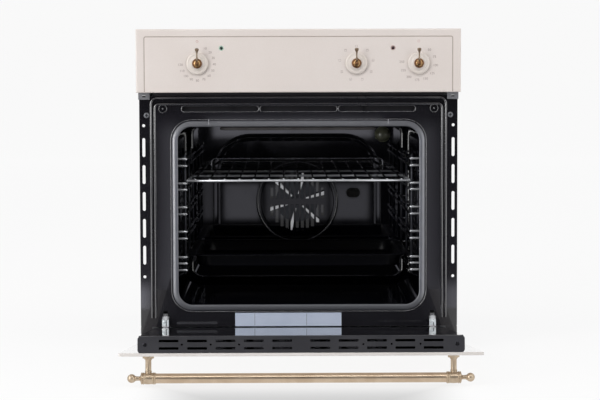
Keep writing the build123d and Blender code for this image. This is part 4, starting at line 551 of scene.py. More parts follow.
# Painted shade: the insulation wool darkened to the shade it lies in behind the vents and the port.
SHADED_WOOL = Finish(
    "insulation_wool", "insulation_wool", tone(56, 55, 54), tone(42, 41, 41), patch_scale=40,
    speck=tone(84, 82, 78), speck_share=0.5, speck_scale=500, roughness=0.95,
    roughness_spread=0.05, grain=Grain.ALONG_X, grain_scale=700, grain_height=0.8,
    ripple_height=1.5, ripple_scale=40, edge_radius=0)
BLACK_PLASTIC = Finish(
    "black_plastic", "black_plastic", tone(42, 42, 46), tone(50, 50, 55), patch_scale=18,
    speck=tone(66, 66, 72), speck_share=0.2, speck_scale=1600, roughness=0.42,
    roughness_spread=0.14, grain_scale=1800, grain_height=0.02, edge_radius=0.6, dust=0.15)
HEATER = Finish(
    "heater_sheath", "heater_steel", tone(104, 102, 104), tone(84, 80, 82), patch_scale=40,
    metallic=0.3, roughness=0.6, roughness_spread=0.15, speck=tone(120, 104, 84),
    speck_share=0.15, ripple_height=0.02, edge_radius=0)
BLADE_ALLOY = Finish(
    "blade_alloy", "blade_alloy", tone(214, 216, 220), tone(182, 185, 192), patch_scale=60,
    metallic=1, roughness=0.3, roughness_spread=0.15, grain=Grain.ALONG_X, grain_height=0.01,
    ripple_height=0.02, wear=0.3, wear_and_edge_highlight_colour=tone(240, 240, 242))
# Painted highlight: a brighter, glossier copy of the fan's alloy for its paddles.
PADDLE_HIGHLIGHT = Finish(
    "paddle_painted_highlight", "blade_alloy", tone(240, 241, 244), tone(214, 216, 221), patch_scale=60,
    metallic=0.55, roughness=0.3, roughness_spread=0.15, coat=1, coat_roughness=0.15, refraction=2.2,
    edge_radius=0, ripple_height=0.02)
# Painted shade: a dark copy of the fan's alloy for its disc and hub.
FAN_DISC_SHADE = Finish(
    "fan_disc_painted_shade", "blade_alloy", tone(74, 76, 80), tone(56, 58, 63), patch_scale=50,
    metallic=1, roughness=0.42, roughness_spread=0.15, edge_radius=0, ripple_height=0.02)
CERAMIC = Finish(
    "ceramic_white", "ceramic_white", tone(236, 233, 226), tone(220, 214, 204), patch_scale=90,
    roughness=0.35, coat=0.4, ripple_height=0.03, speck=tone(180, 172, 160), speck_share=0.15)
MOTOR_STEEL = Finish(
    "motor_steel", "motor_steel", tone(138, 140, 145), tone(104, 106, 112), patch_scale=50,
    metallic=1, roughness=0.4, roughness_spread=0.15, grain=Grain.ALONG_X, grain_scale=900,
    grain_height=0.05, grain_colour_share=0.4, dust=0.15)
SCREW_STEEL = Finish(
    "screw_steel", "zinc", tone(150, 151, 156), tone(118, 120, 128), patch_scale=200, metallic=0.6,
    roughness=0.3, roughness_spread=0.12, edge_radius=0, ripple_height=0.01)
BLACK_SCREW = Finish(
    "black_screw", "zinc", tone(44, 44, 48), tone(60, 60, 66), patch_scale=200, metallic=1,
    roughness=0.2, roughness_spread=0.1, edge_radius=0, ripple_height=0.01)
# Painted shade: dark fill for the screw slots and the hinge clips' fold.
RECESS_SHADE = Finish(
    "recess_shadow", "zinc", tone(26, 26, 28), tone(40, 40, 42), patch_scale=200, metallic=0.6,
    roughness=0.6, edge_radius=0)

CAD_FINISHES = {
    finish.slot: finish
    for finish in (
        CREAM_ENAMEL, BLACK_ENAMEL, CAVITY_ENAMEL, GALVANISED, ZINC, SPRING_STEEL, WIRE_CHROME,
        ANTIQUE_BRASS, KNOB_CREAM, OUTER_GLASS, INNER_GLASS, LAMP_GLASS, LENS_GREEN, LENS_RED,
        GASKET, LABEL, SHADED_WOOL, BLACK_PLASTIC, HEATER, BLADE_ALLOY, CERAMIC, MOTOR_STEEL)
}
# The blower housing takes the near-black sheet: painted shade.
NODE_FINISHES = {"corner_brackets": DULL_ZINC, "cooling_fan_housing": SHADED_SHEET}


# Worked-out surfaces


def rounded(points: Sequence[Point], bend: float, steps: int = 5) -> Array:
    """A broken line whose corners are turned into arcs.

    Each corner is left where an arc touches its two runs, and the arc's points are found from the circle
    centre on the corner's bisector, turning from one touching point to the other.

    Args:
        points: The corners, as rows of two or three numbers.
        bend: The radius of every arc, cut down where a run is too short for it.
        steps: How many pieces each arc is drawn in.

    Returns:
        The points of the whole line.
    """
    corners = np.asarray(points, float)
    line = [corners[:1]]
    for before, here, after in zip(corners[:-2], corners[1:-1], corners[2:]):
        to_start, to_end = before - here, after - here
        reach_start, reach_end = np.linalg.norm(to_start), np.linalg.norm(to_end)
        to_start, to_end = to_start / reach_start, to_end / reach_end
        half_angle = math.acos(float(np.clip(to_start @ to_end, -1, 1))) / 2
        cut = min(bend / math.tan(half_angle), 0.48 * reach_start, 0.48 * reach_end)
        radius = cut * math.tan(half_angle)
        middle = to_start + to_end
        centre = here + middle / np.linalg.norm(middle) * radius / math.sin(half_angle)
        first, last = here + to_start * cut - centre, here + to_end * cut - centre
        turn = math.acos(float(np.clip(first @ last / radius**2, -1, 1)))
        share = np.linspace(0, 1, steps + 1)[:, None]
        bow = (np.sin((1 - share) * turn) * first + np.sin(share * turn) * last) / math.sin(turn)
        line.append(centre + bow)
    line.append(corners[-1:])
    return np.vstack(line)


def outline(width: float, height: float, radius: float, steps: int = 10) -> Array:
    """A rounded rectangle about the origin.

    A point is its corner's arc centre plus radius times the direction at an angle, for four quarter turns
    in a row.

    Args:
        width: The size along the first axis.
        height: The size along the second axis.
        radius: The corner radius.
        steps: How many pieces each corner is drawn in.

    Returns:
        The points, in two columns.
    """
    quarter = np.linspace(0, math.pi / 2, steps + 1)
    angles = (quarter[None, :] + np.arange(4)[:, None] * math.pi / 2).ravel()
    spokes = np.stack([np.cos(angles), np.sin(angles)], axis=1)
    signs = np.repeat(np.array([[1, 1], [-1, 1], [-1, -1], [1, -1]]), steps + 1, axis=0)
    return signs * [width / 2 - radius, height / 2 - radius] + radius * spokes


def arc(centre: Point, reach: Point, start: float, end: float, count: int) -> Array:
    """Points of an arc: its centre plus its reach times the cosine and the sine of an even run of angles.

    Args:
        centre: The middle, as two numbers.
        reach: The radius along the first and along the second axis.
        start: The first angle, in radians.
        end: The last angle.
        count: How many points the arc has.

    Returns:
        The points, in two columns.
    """
    angle = np.linspace(start, end, count)
    return np.stack([centre[0] + reach[0] * np.cos(angle), centre[1] + reach[1] * np.sin(angle)], axis=1)


def on_front(flat: Array, depth: float | Array) -> Array:
    """Stands a flat drawing up to face the viewer: across, depth, up."""
    return np.stack([flat[..., 0], np.broadcast_to(depth, flat.shape[:-1]), flat[..., 1]], axis=-1)


def on_table(flat: Array, depth: float | Array) -> Array:
    """Lays a flat drawing level: across, back, and the depth as height."""
    return np.stack([flat[..., 0], flat[..., 1], np.broadcast_to(depth, flat.shape[:-1])], axis=-1)


def on_side(flat: Array, depth: float | Array) -> Array:
    """Turns a flat drawing to face along X: back, up, and the depth across."""
    return np.stack([np.broadcast_to(depth, flat.shape[:-1]), flat[..., 0], flat[..., 1]], axis=-1)


def directions(path: Array) -> tuple[Array, Array]:
    """The directions, of length one, in which a line reaches each of its points and leaves it."""
    steps = np.diff(path, axis=0)
    steps = steps / np.linalg.norm(steps, axis=1, keepdims=True)
    return np.vstack([steps[:1], steps]), np.vstack([steps, steps[-1:]])


def node_box(node: str) -> tuple[Array, Array]:
    """A node's lowest and highest corners, in millimetres."""
    low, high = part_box(node)
    return np.array(low) / MM, np.array(high) / MM


class Shape:
    """Points and faces of one piece, gathered from worked-out surfaces, in millimetres."""

    def __init__(self) -> None:
        """Starts with no points."""
        self.points: list[Array] = []
        self.faces: list[list[int]] = []
        self.count = 0

    def add(self, points: Array, faces: Array) -> "Shape":
        """Adds points, in three columns, and the faces that index them."""
        self.faces += (np.asarray(faces) + self.count).tolist()
        self.points.append(points)
        self.count += len(points)
        return self

    def grid(self, points: Array, wrap_rows: bool = False, wrap_columns: bool = False) -> "Shape":
        """Adds a surface: neighbours in the rows and columns of points make its faces.

        Args:
            points: An array of rows, columns and three coordinates.
            wrap_rows: Whether the last row joins the first.
            wrap_columns: Whether the last column joins the first.

        Returns:
            The shape itself.
        """
        rows, columns = points.shape[:2]
        index = np.arange(rows * columns).reshape(rows, columns)
        if wrap_rows:
            index = np.vstack([index, index[:1]])
        if wrap_columns:
            index = np.hstack([index, index[:, :1]])
        quads = np.stack([index[:-1, :-1], index[1:, :-1], index[1:, 1:], index[:-1, 1:]], axis=-1)
        return self.add(points.reshape(-1, 3), quads.reshape(-1, 4))

    def cap(self, ring: Array) -> "Shape":
        """Closes a ring of points with a fan of triangles about its middle."""
        around = np.arange(len(ring))
        fan = np.stack([around, np.roll(around, -1), np.full(len(ring), len(ring))], axis=1)
        return self.add(np.vstack([ring, ring.mean(axis=0, keepdims=True)]), fan)

    def turned(self, profile: Sequence[Point], origin: Point, axis: Point, up: Point = UP,
               steps: int = 48) -> "Shape":
        """Adds a turned surface: a profile of radius and height, carried round an axis.

        A point is the origin plus height along the axis, plus radius times the cosine of the angle along
        one cross direction and times its sine along the other.

        Args:
            profile: Rows of radius and height. It starts and ends on the axis in a closed piece.
            origin: The point of height nought on the axis.
            axis: The direction of the axis.
            up: A direction across the axis, where the turn starts.
            steps: How many faces go round.

        Returns:
            The shape itself.
        """
        rows = np.asarray(profile, float)
        along, first = np.asarray(axis, float), np.asarray(up, float)
        second = np.cross(along, first)
        angle = np.linspace(0, 2 * math.pi, steps, endpoint=False)[:, None, None]
        across = np.cos(angle) * first + np.sin(angle) * second
        points = np.asarray(origin, float) + rows[None, :, :1] * across + rows[None, :, 1:] * along
        return self.grid(points, wrap_rows=True)

    def rod(self, path: Array, radius: float, flat: Point, sides: int = 12) -> "Shape":
        """Adds a round rod along a path that lies in a plane, with closed ends.

        A point of its skin is the path's point plus radius times the cosine of an angle along the plane's
        normal and times its sine along the direction square to both, stretched where the path turns.

        Args:
            path: The points of the middle line.
            radius: The rod's radius.
            flat: The normal of the plane that holds the path.
            sides: How many faces go round.

        Returns:
            The shape itself.
        """
        line = np.asarray(path, float)
        before, after = directions(line)
        tangent = before + after
        tangent = tangent / np.linalg.norm(tangent, axis=1, keepdims=True)
        stretch = 1 / np.clip((tangent * before).sum(axis=1), 0.5, 1)
        normal = np.asarray(flat, float)
        cross = np.cross(tangent, normal) * stretch[:, None]
        angle = np.linspace(0, 2 * math.pi, sides, endpoint=False)[None, :, None]
        rings = line[:, None] + radius * (np.cos(angle) * normal + np.sin(angle) * cross[:, None])
        nose, tail = line[0] - before[0] * radius * 0.3, line[-1] + after[-1] * radius * 0.3
        small_start = line[0] + (rings[0] - line[0]) * 0.7 + nose - line[0]
        small_end = line[-1] + (rings[-1] - line[-1]) * 0.7 + tail - line[-1]
        skin = np.concatenate([small_start[None], rings, small_end[None]])
        return self.grid(skin, wrap_columns=True).cap(small_start).cap(small_end)

    def strip(self, path: Array, width: float, low: float, high: float,
              place: Callable[[Array, Array], Array] = on_front) -> "Shape":
        """Adds a flat band along a drawn line: a box section whose corners follow the line's normals.

        Args:
            path: The points of the middle line, in two columns.
            width: The band's width.
            low: The depth of one face.
            high: The depth of the other face.
            place: Turns flat points and depths into points in space.

        Returns:
            The shape itself.
        """
        before, after = directions(path)
        tangent = (before + after) / 2
        stretch = (tangent**2).sum(axis=1, keepdims=True)
        normal = np.stack([-tangent[:, 1], tangent[:, 0]], axis=1) / np.clip(stretch, 0.3, 1)
        offsets = np.array([-0.5, 0.5, 0.5, -0.5])[None, :, None] * width
        section = path[:, None] + normal[:, None] * offsets
        depths = np.broadcast_to([low, low, high, high], section.shape[:2])
        points = place(section, depths)
        return self.grid(points, wrap_columns=True).cap(points[0]).cap(points[-1])

    def stack(self, rings: Sequence[Point], centre: Point, place: Callable[[Array, Array], Array],
              closed: bool = False, steps: int = 8) -> "Shape":
        """Adds a surface through a stack of rounded rectangles.

        Args:
            rings: Rows of width, height, corner radius and depth.
            centre: The middle of the rectangles in the drawing.
            place: Turns flat points and depths into points in space.
            closed: Whether the last ring joins the first, else both are closed by flat caps.
            steps: How many pieces each corner is drawn in.

        Returns:
            The shape itself.
        """
        points = np.array([
            place(outline(width, height, radius, steps) + np.asarray(centre, float), depth)
            for width, height, radius, depth in rings
        ])
        self.grid(points, wrap_rows=closed, wrap_columns=True)
        return self if closed else self.cap(points[0]).cap(points[-1])

    def slab(self, size: Point, corner: float, centre: Point, low: float, high: float, bevel: float,
             place: Callable[[Array, Array], Array]) -> "Shape":
        """Adds a flat slab with rounded corners and bevelled rims between two depths."""
        width, height = size
        inner = (width - 2 * bevel, height - 2 * bevel, max(corner - bevel, 0.05))
        side = math.copysign(bevel, high - low)
        rings = [(*inner, low), (width, height, corner, low + side),
                 (width, height, corner, high - side), (*inner, high)]
        return self.stack(rings, centre, place, steps=4)

    def bead(self, size: Point, corner: float, centre: Point, depth: float, radius: float,
             place: Callable[[Array, Array], Array] = on_front) -> "Shape":
        """Adds a round bead along a rounded rectangle: a circle of offset and depth carried round it."""
        turn = np.linspace(0, 2 * math.pi, 10, endpoint=False)
        rings = [
            (size[0] + 2 * radius * math.cos(a), size[1] + 2 * radius * math.cos(a),
             corner + radius * math.cos(a), depth + radius * math.sin(a))
            for a in turn
        ]
        return self.stack(rings, centre, place, closed=True)

    def piece(self, name: str, body: str, finish: Finish, sharp: float = 32.0) -> Piece:
        """Makes the finished piece: a closed mesh that faces outwards, dressed and riding on its body.

        Args:
            name: The piece's name.
            body: The body that it rides on.
            finish: Its finish.
            sharp: Edges that turn more than this many degrees stay crisp.

        Returns:
            The new object.
        """
        mesh = bpy.data.meshes.new(name)
        mesh.from_pydata((np.vstack(self.points) * MM).tolist(), [], self.faces)
        draft = bmesh.new()
        draft.from_mesh(mesh)
        bmesh.ops.remove_doubles(draft, verts=draft.verts, dist=MERGE)
        bmesh.ops.dissolve_degenerate(draft, edges=draft.edges, dist=MERGE)
        bmesh.ops.recalc_face_normals(draft, faces=draft.faces)
        draft.to_mesh(mesh)
        draft.free()
        mesh.shade_smooth()
        mesh.set_sharp_from_angle(angle=math.radians(sharp))
        piece = bpy.data.objects.new(name, mesh)
        bpy.context.scene.collection.objects.link(piece)
        mesh.materials.append(finish.material())
        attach(piece, body)
        LOG.info("piece %s on %s: %d faces", name, body, len(mesh.polygons))
        return piece


def drawn_text(text: str, height: float) -> tuple[Array, list[list[int]]]:
    """A line of lettering as flat points, centred on the origin, and its faces.

    Args:
        text: The characters.
        height: The lettering's nominal height in millimetres.

    Returns:
        The points, in two columns, and the faces.
    """
    curve = bpy.data.curves.new("lettering", "FONT")
    curve.body = text
    curve.size = height
    curve.align_x = "CENTER"
    curve.align_y = "CENTER"
    holder = bpy.data.objects.new("lettering", curve)
    bpy.context.scene.collection.objects.link(holder)
    bpy.context.view_layer.update()
    mesh = bpy.data.meshes.new_from_object(holder.evaluated_get(bpy.context.evaluated_depsgraph_get()))
    flat = np.empty(len(mesh.vertices) * 3)
    mesh.vertices.foreach_get("co", flat)
    faces = [list(polygon.vertices) for polygon in mesh.polygons]
    bpy.data.objects.remove(holder)
    bpy.data.curves.remove(curve)
    bpy.data.meshes.remove(mesh)
    return flat.reshape(-1, 3)[:, :2], faces


# Control panel


@dataclass
class ControlPanel:
    """The cream panel: its engraved line, its printed legends and its pilot lamps."""

    line_side_inset: float = 14.6
    line_top_inset: float = 13.3
    line_width: float = 1.5
    line_corner: float = 3.0
    line_depth: float = 0.4
    print_depth: float = 0.06
    number_height: float = 6.2
    number_radius: float = 31.0
    timer_start: float = 27.5
    timer_step: float = 21.7
    symbol_half: float = 1.9
    heat_start: float = 39.0
    heat_step: float = 29.4
    function_step: float = 40.0

    def build(self) -> None:
        """Builds the line, the legends and the lamps."""
        low, high = node_box("fascia")
        self.front = low[1]
        self._engraved_line(low, high)
        self._numbers("timer", [str(10 * n) for n in range(1, 13)], self.timer_start, self.timer_step)
        self._numbers("thermostat", [str(25 * n) for n in range(2, 11)], self.heat_start, self.heat_step)
        self._functions()
        for colour, lens, rim in (("green", LENS_GREEN, GREEN_RIM), ("red", LENS_RED, RED_RIM)):
            self._pilot_lamp(colour, lens, rim)

    def _engraved_line(self, low: Array, high: Array) -> None:
        """Fills the engraved groove with a darker line colour, just under the panel's face: part printed
        line, part painted shade of the groove.
        """
        side = high[0] - self.line_side_inset - self.line_width / 2
        top = high[2] - self.line_top_inset - self.line_width / 2
        foot = low[2] + self.line_width
        path = rounded([(-side, foot), (-side, top), (side, top), (side, foot)], self.line_corner)
        paint = self.front + self.line_depth
        Shape().strip(path, self.line_width - 0.1, paint, paint - 0.15).piece(
            "panel_line_paint_and_shade", "housing", LINE_PAINT_AND_SHADE)

    def _numbers(self, knob: str, words: Sequence[str], start: float, step: float) -> None:
        """Prints a ring of numbers round a knob, clockwise from its top, and the red clock mark over it.

        Args:
            knob: The knob's name.
            words: The numbers in their order.
            start: The first number's angle from the top, in degrees.
            step: The angle between neighbours.
        """
        centre = self._knob_centre(knob)
        shape = Shape()
        for count, word in enumerate(words):
            angle = math.radians(start + count * step)
            place = centre + self.number_radius * np.array([math.sin(angle), math.cos(angle)])
            self._print(shape, word, place, self.number_height)
        shape.piece(f"{knob}_scale", "housing", LEGEND_INK)
        mark = Shape()
        middle = centre + [0, 1.3 * self.number_radius]
        turn = np.linspace(0, 2 * math.pi, 25)
        face = middle + 2.2 * np.stack([np.sin(turn), np.cos(turn)], axis=1)
        near, far = self.front - self.print_depth, self.front + 0.02
        mark.strip(face, 0.4, near, far)
        mark.strip(np.array([middle + [0, 1.5], middle, middle + [1.1, 0]]), 0.35, near, far)
        mark.piece(f"{knob}_mark", "housing", LEGEND_RED)

    def _print(self, shape: Shape, word: str, place: Array, height: float) -> None:
        """Adds a printed word to a shape, a hair above the panel."""
        flat, faces = drawn_text(word, height)
        points = on_front(flat + place, self.front - self.print_depth)
        shape.points.append(points)
        shape.faces += [[index + shape.count for index in face] for face in faces]
        shape.count += len(points)

    def _functions(self) -> None:
        """Prints plain symbols round the selector: small squares with a bar for the heater in use."""
        centre = self._knob_centre("selector")
        near, far = self.front - self.print_depth, self.front + 0.02
        shape = Shape()
        half = self.symbol_half
        bars = ((0, 0), (1, 0), (0, 1), (1, 1), (1, 0), (0, 1), (1, 1), (0, 0), (1, 0))
        for count, (above, below) in enumerate(bars):
            angle = math.radians(count * self.function_step)
            middle = centre + self.number_radius * np.array([math.sin(angle), math.cos(angle)])
            corners = middle + half * np.array([(-1, -1), (-1, 1), (1, 1), (1, -1), (-1, -1)])
            shape.strip(corners.astype(float), 0.35, near, far)
            for wanted, height in ((above, half * 0.55), (below, -half * 0.55)):
                if wanted:
                    ends = middle + np.array([(-half * 0.6, height), (half * 0.6, height)])
                    shape.strip(ends, 0.5, near, far)
        shape.piece("selector_symbols", "housing", LEGEND_INK)

    def _knob_centre(self, knob: str) -> Array:
        """The middle of a knob, across and up."""
        low, high = node_box(f"{knob}_knob_skirt")
        return ((low + high) / 2)[[0, 2]]

    def _pilot_lamp(self, colour: str, lens: Finish, rim: Finish) -> None:
        """A domed lens on its tube, with the pale rim that shows round it.

        Args:
            colour: The lamp's colour in its names.
            lens: The lens's finish.
            rim: The rim's finish.
        """
        node = f"pilot_lamp_{colour}"
        low, high = node_box(node)
        centre = (low + high) / 2
        tube = (high[0] - low[0]) / 2
        radius = tube - 1.05
        back, front = high[1] - self.front, self.front - low[1]
        shoulder = self.front + 1
        profile = [(0, -back), (tube, -back), (tube, self.front - shoulder), (radius, self.front - shoulder),
                   *arc((0, 0), (radius, front), 0, math.pi / 2, 9)]
        lamp = Shape().turned(profile, (centre[0], self.front, centre[2]), TO_VIEWER, steps=32)
        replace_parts(lamp.piece(f"{colour}_lens", "housing", lens), node)
        ring = [(radius + 0.1, 0.0), (radius + 0.1, 0.35), (radius + 0.5, 0.5), (radius + 1.3, 0.3),
                (radius + 1.5, 0.0), (radius + 0.1, 0.0)]
        halo = Shape().turned(ring, (centre[0], self.front, centre[2]), TO_VIEWER, steps=32)
        halo.piece(f"{colour}_lens_rim", "housing", rim)


@dataclass
class Knob:
    """One control: a stepped cream skirt and a brass lever with a ball end."""

    name: str
    skirt_radius: float = 20.0
    skirt_height: float = 7.0
    hub_radius: float = 9.0
    hub_height: float = 11.0
    core_radius: float = 6.2
    boss_radius: float = 2.9
    neck_radius: float = 1.2
    end_radius: float = 3.7
    spindle_radius: float = 3.0

    def build(self) -> None:
        """Builds the skirt, the hub, the lever and its ball."""
        low, high = node_box(f"{self.name}_knob_skirt")
        self.x, _, self.z = (low + high) / 2
        self.back = high[1]
        self.body = f"{self.name}_knob"
        self._skirt()
        self._lever()

    def _turn(self, profile: Sequence[Point], steps: int = 64) -> Shape:
        """Turns a profile about the knob's axis, its heights counted from the skirt's back."""
        return Shape().turned(profile, (self.x, self.back, self.z), TO_VIEWER, steps=steps)

    def _skirt(self) -> None:
        """The moulded skirt: a rounded rim that steps up to a boss under the hub."""
        radius, top = self.skirt_radius, self.skirt_height
        bore = self.spindle_radius + 0.05
        shoulder = arc((radius - 2.8, 2.4), (2.8, 2.8), 0, math.pi / 2, 7)
        profile = [
            (bore, 0.3), (radius - 3, 0.3), (radius - 1.2, 0), (radius, 0.4), *shoulder,
            (14.2, 5.35), (13.5, 5.55), (13.1, 6.0), (12.6, 6.55), (11.8, top), (bore, top), (bore, 0.3),
        ]
        piece = self._turn(profile).piece(f"{self.name}_skirt", self.body, KNOB_CREAM)
        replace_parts(piece, f"{self.name}_knob_skirt")

    def _lever(self) -> None:
        """The turned hub with its golden face and dark boss, the neck and its end."""
        base, radius, core = self.skirt_height, self.hub_radius, self.core_radius
        front = base + self.hub_height
        rim = [
            (0, base), (radius - 0.6, base), (radius, base + 0.8), (radius, base + 3.2),
            (radius - 0.4, base + 4.4), (radius - 1.2, base + 5.2), (radius - 2.0, base + 5.4),
            (core - 0.4, base + 4.6), (0, base + 4.6),
        ]
        hub = self._turn(rim).piece(f"{self.name}_hub_rim", self.body, BRASS_PATINA)
        face = [
            (0, base + 4.5), (core, base + 4.5), (core + 0.1, front - 4.6), (core - 0.4, front - 3.6),
            (core - 1.0, front - 3.2), (self.boss_radius + 0.3, front - 2.6), (0, front - 2.6),
        ]
        self._turn(face).piece(f"{self.name}_hub_face", self.body, BRASS_TURNED)
        boss = self.boss_radius
        cap = [
            (0, front - 2.7), (boss, front - 2.7), (boss + 0.1, front - 1.2), (boss - 0.5, front - 0.5),
            (boss - 1.3, front - 0.15), (0.4 * boss, front), (0, front),
        ]
        self._turn(cap).piece(f"{self.name}_hub_boss", self.body, BRASS_PATINA)
        low, high = node_box(f"{self.name}_knob_lever")
        lever_y = self.back - front + self.hub_height / 4
        tip, neck, end = high[2] - self.z, self.neck_radius, self.end_radius
        profile = [
            (0, core * 0.8), (neck + 0.9, core * 0.8), (neck + 0.8, core + 2.6), (neck + 0.3, core + 3.8),
            (neck, core + 6.5), (neck, tip - 9.2), (neck + 0.7, tip - 8.8), (neck + 0.7, tip - 8.1),
            (neck + 0.3, tip - 7.6), (0.62 * end, tip - 6.4), (0.84 * end, tip - 4.8),
            (0.97 * end, tip - 3.2), (end, tip - 2.2), (0.95 * end, tip - 1.3), (0.8 * end, tip - 0.6),
            (0.5 * end, tip - 0.15), (0, tip),
        ]
        lever = Shape().turned(profile, (self.x, lever_y, self.z), UP, ACROSS, 32)
        lever.piece(f"{self.name}_lever_end", self.body, BRASS_AGED)
        tail = self.back - high[1]
        spindle = [
            (0, tail), (self.spindle_radius - 0.4, tail), (self.spindle_radius, tail + 0.4),
            (self.spindle_radius, base + 0.2), (0, base + 0.2),
        ]
        self._turn(spindle, 32).piece(f"{self.name}_spindle", self.body, ZINC)
        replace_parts(hub, f"{self.name}_knob_lever")


# Front frame


@dataclass
class Screws:
    """A set of pan-head screws that share a size and an axis."""

    name: str
    body: str
    axis: Point
    up: Point
    places: Sequence[Point]
    radius: float = 4.0
    height: float = 1.6
    finish: Finish = SCREW_STEEL

    def build(self) -> None:
        """Builds the heads as one piece, and as another the dark crosses painted as the shade in their
        slots.
        """
        heads, crosses = Shape(), Shape()
        axis, up = np.asarray(self.axis, float), np.asarray(self.up, float)
        across = np.cross(axis, up)
        radius, height = self.radius, self.height
        profile = [
            (0, -0.02), (radius, -0.02), (radius, 0.35 * height), (0.86 * radius, 0.8 * height),
            (0.5 * radius, height), (0, height),
        ]
        corners = np.array([(-0.62, -0.13), (-0.62, 0.13), (0.62, 0.13), (0.62, -0.13)]) * radius
        for place in self.places:
            heads.turned(profile, place, axis, up, 24)
            for first, second in ((up, across), (across, -up)):
                level = np.asarray(place, float) + corners[:, :1] * first + corners[:, 1:] * second
                low, high = level + axis * (height - 0.3), level + axis * (height + 0.04)
                crosses.grid(np.array([low, high]), wrap_columns=True).cap(low).cap(high)
        heads.piece(f"{self.name}_heads", self.body, self.finish)
        # The crosses stand a hair proud of the heads in a dark finish: painted shade of the slots.
        crosses.piece(f"{self.name}_recesses", self.body, RECESS_SHADE)


@dataclass
class FrontFrame:
    """The black frame's ridges, rims, feet and folds, its screws and the rating strip's dividers."""

    screw_x: float = 281.0
    screw_z: float = 437.0
    screw_radius: float = 5.0
    divider_places: tuple[float, ...] = (-82.4, 14.2)
    divider_width: float = 0.7
    ridge_lines: tuple[tuple[float, float, float], ...] = ((273.0, 469.0, 12.0), (266.0, 457.5, 8.0))
    ridge_foot: float = 60.0
    ridge_radius: float = 2.3
    vent_places: tuple[float, ...] = (-145.0, 0.0, 145.0)
    vent_size: tuple[float, float] = (143.0, 11.3)
    vent_z: float = 448.5
    rim_radius: float = 0.9
    mouth_gap: float = 2.6
    mouth_corner: float = 39.0
    dimple_x: float = 251.0
    dimple_z: float = 449.0
    dimple_radius: float = 7.3
    foot_width: float = 21.5
    foot_bottom: float = 29.0
    foot_sheet: float = 0.9
    rib_x: float = -190.0
    rib_length: float = 76.0
    rib_width: float = 4.4
    rib_z: float = 50.0
    fold_half: float = 268.0
    fold_rise: float = 12.0
    fold_depth: float = 2.0
    channel_depth: float = 10.0
    channel_margin: float = 5.0

    def build(self) -> None:
        """Builds every part of the frame's front."""
        face = node_box("front_frame")[0][1]
        self._ridges(face)
        self._rims(face)
        self._feet(face)
        self._folds(face)
        places = [(side.value * self.screw_x, face, self.screw_z) for side in Side]
        Screws("frame_screw", "housing", TO_VIEWER, UP, places, self.screw_radius, 2.0).build()
        self._dividers()

    def _ridges(self, face: float) -> None:
        """The two pressed ridges that run up both sides and over the top."""
        ridges = Shape()
        for half, top, corner in self.ridge_lines:
            path = rounded([(-half, self.ridge_foot), (-half, top), (half, top), (half, self.ridge_foot)],
                           corner, 10)
            ridges.rod(on_front(path, face + 0.9), self.ridge_radius, TO_VIEWER, 12)
        # The ridges take the lighter enamel copy: painted highlight.
        ridges.piece("frame_ridges", "housing", LIT_ENAMEL_EDGE, 50)

    def _rims(self, face: float) -> None:
        """The rolled rims of the vents, of the dimples and of the cavity's mouth."""
        rims = Shape()
        for x in self.vent_places:
            rims.bead(self.vent_size, self.vent_size[1] / 2, (x, self.vent_z), face + 0.1, self.rim_radius)
        for side in Side:
            centre = (side.value * self.dimple_x, self.dimple_z)
            rims.bead((2 * self.dimple_radius,) * 2, self.dimple_radius, centre, face + 0.2, 0.7)
            rims.turned([(0, -0.1), (1.6, -0.1), (1.4, 0.4), (0.6, 0.7), (0, 0.7)],
                        (centre[0], face, centre[1]), TO_VIEWER, steps=20)
        low, high = node_box("cavity_gasket")
        size, centre = (high - low)[[0, 2]] + 2 * self.mouth_gap, ((low + high) / 2)[[0, 2]]
        rims.bead(size, self.mouth_corner, centre, face + 0.3, self.rim_radius)
        # The rims take the lighter enamel copy: painted highlight.
        rims.piece("frame_rims", "housing", LIT_ENAMEL_EDGE, 50)

    def _feet(self, face: float) -> None:
        """The lower ends of both flanges."""
        low, high = node_box("front_frame")
        feet = Shape()
        for side in Side:
            middle = side.value * (high[0] - self.foot_width / 2)
            size = (self.foot_width, low[2] - self.foot_bottom + 0.4)
            centre = (middle, (low[2] + 0.4 + self.foot_bottom) / 2)
            feet.slab(size, 1.5, centre, face, face + self.foot_sheet, 0.2, on_front)
        feet.piece("frame_feet", "housing", BLACK_ENAMEL)

    def _folds(self, face: float) -> None:
        """The sheet folded behind the panel's lower edge, the channel behind the vents, and the low rib."""
        high = node_box("front_frame")[1]
        folds = Shape()
        folds.slab((2 * self.fold_half, self.fold_rise), 0.5, (0, high[2] + self.fold_rise / 2),
                   face + self.fold_depth, face + self.fold_depth + self.foot_sheet, 0.2, on_front)
        channel = (2 * self.vent_places[-1] + self.vent_size[0] + 2 * self.channel_margin,
                   self.vent_size[1] + 2 * self.channel_margin)
        folds.slab(channel, 4.0, (0, self.vent_z), face + self.channel_depth,
                   face + self.channel_depth + self.foot_sheet, 0.2, on_front)
        folds.piece("frame_folds", "housing", ENAMEL_FOLD)
        rib = Shape().slab((self.rib_length, self.rib_width), self.rib_width / 2, (self.rib_x, self.rib_z),
                           face + 0.2, face - 0.3, 0.3, on_front)
        rib.piece("frame_ribs", "housing", ENAMEL_DULL, 20)

    def _dividers(self) -> None:
        """The thin lines that part the blank rating strip."""
        low, high = node_box("rating_plate")
        lines = Shape()
        for x in self.divider_places:
            path = np.array([(x, low[2] + 1.5), (x, high[2] - 1.5)])
            lines.strip(path, self.divider_width, low[1] - 0.05, low[1] + 0.05)
        lines.piece("rating_plate_dividers", "housing", LABEL_LINE)


# Cavity


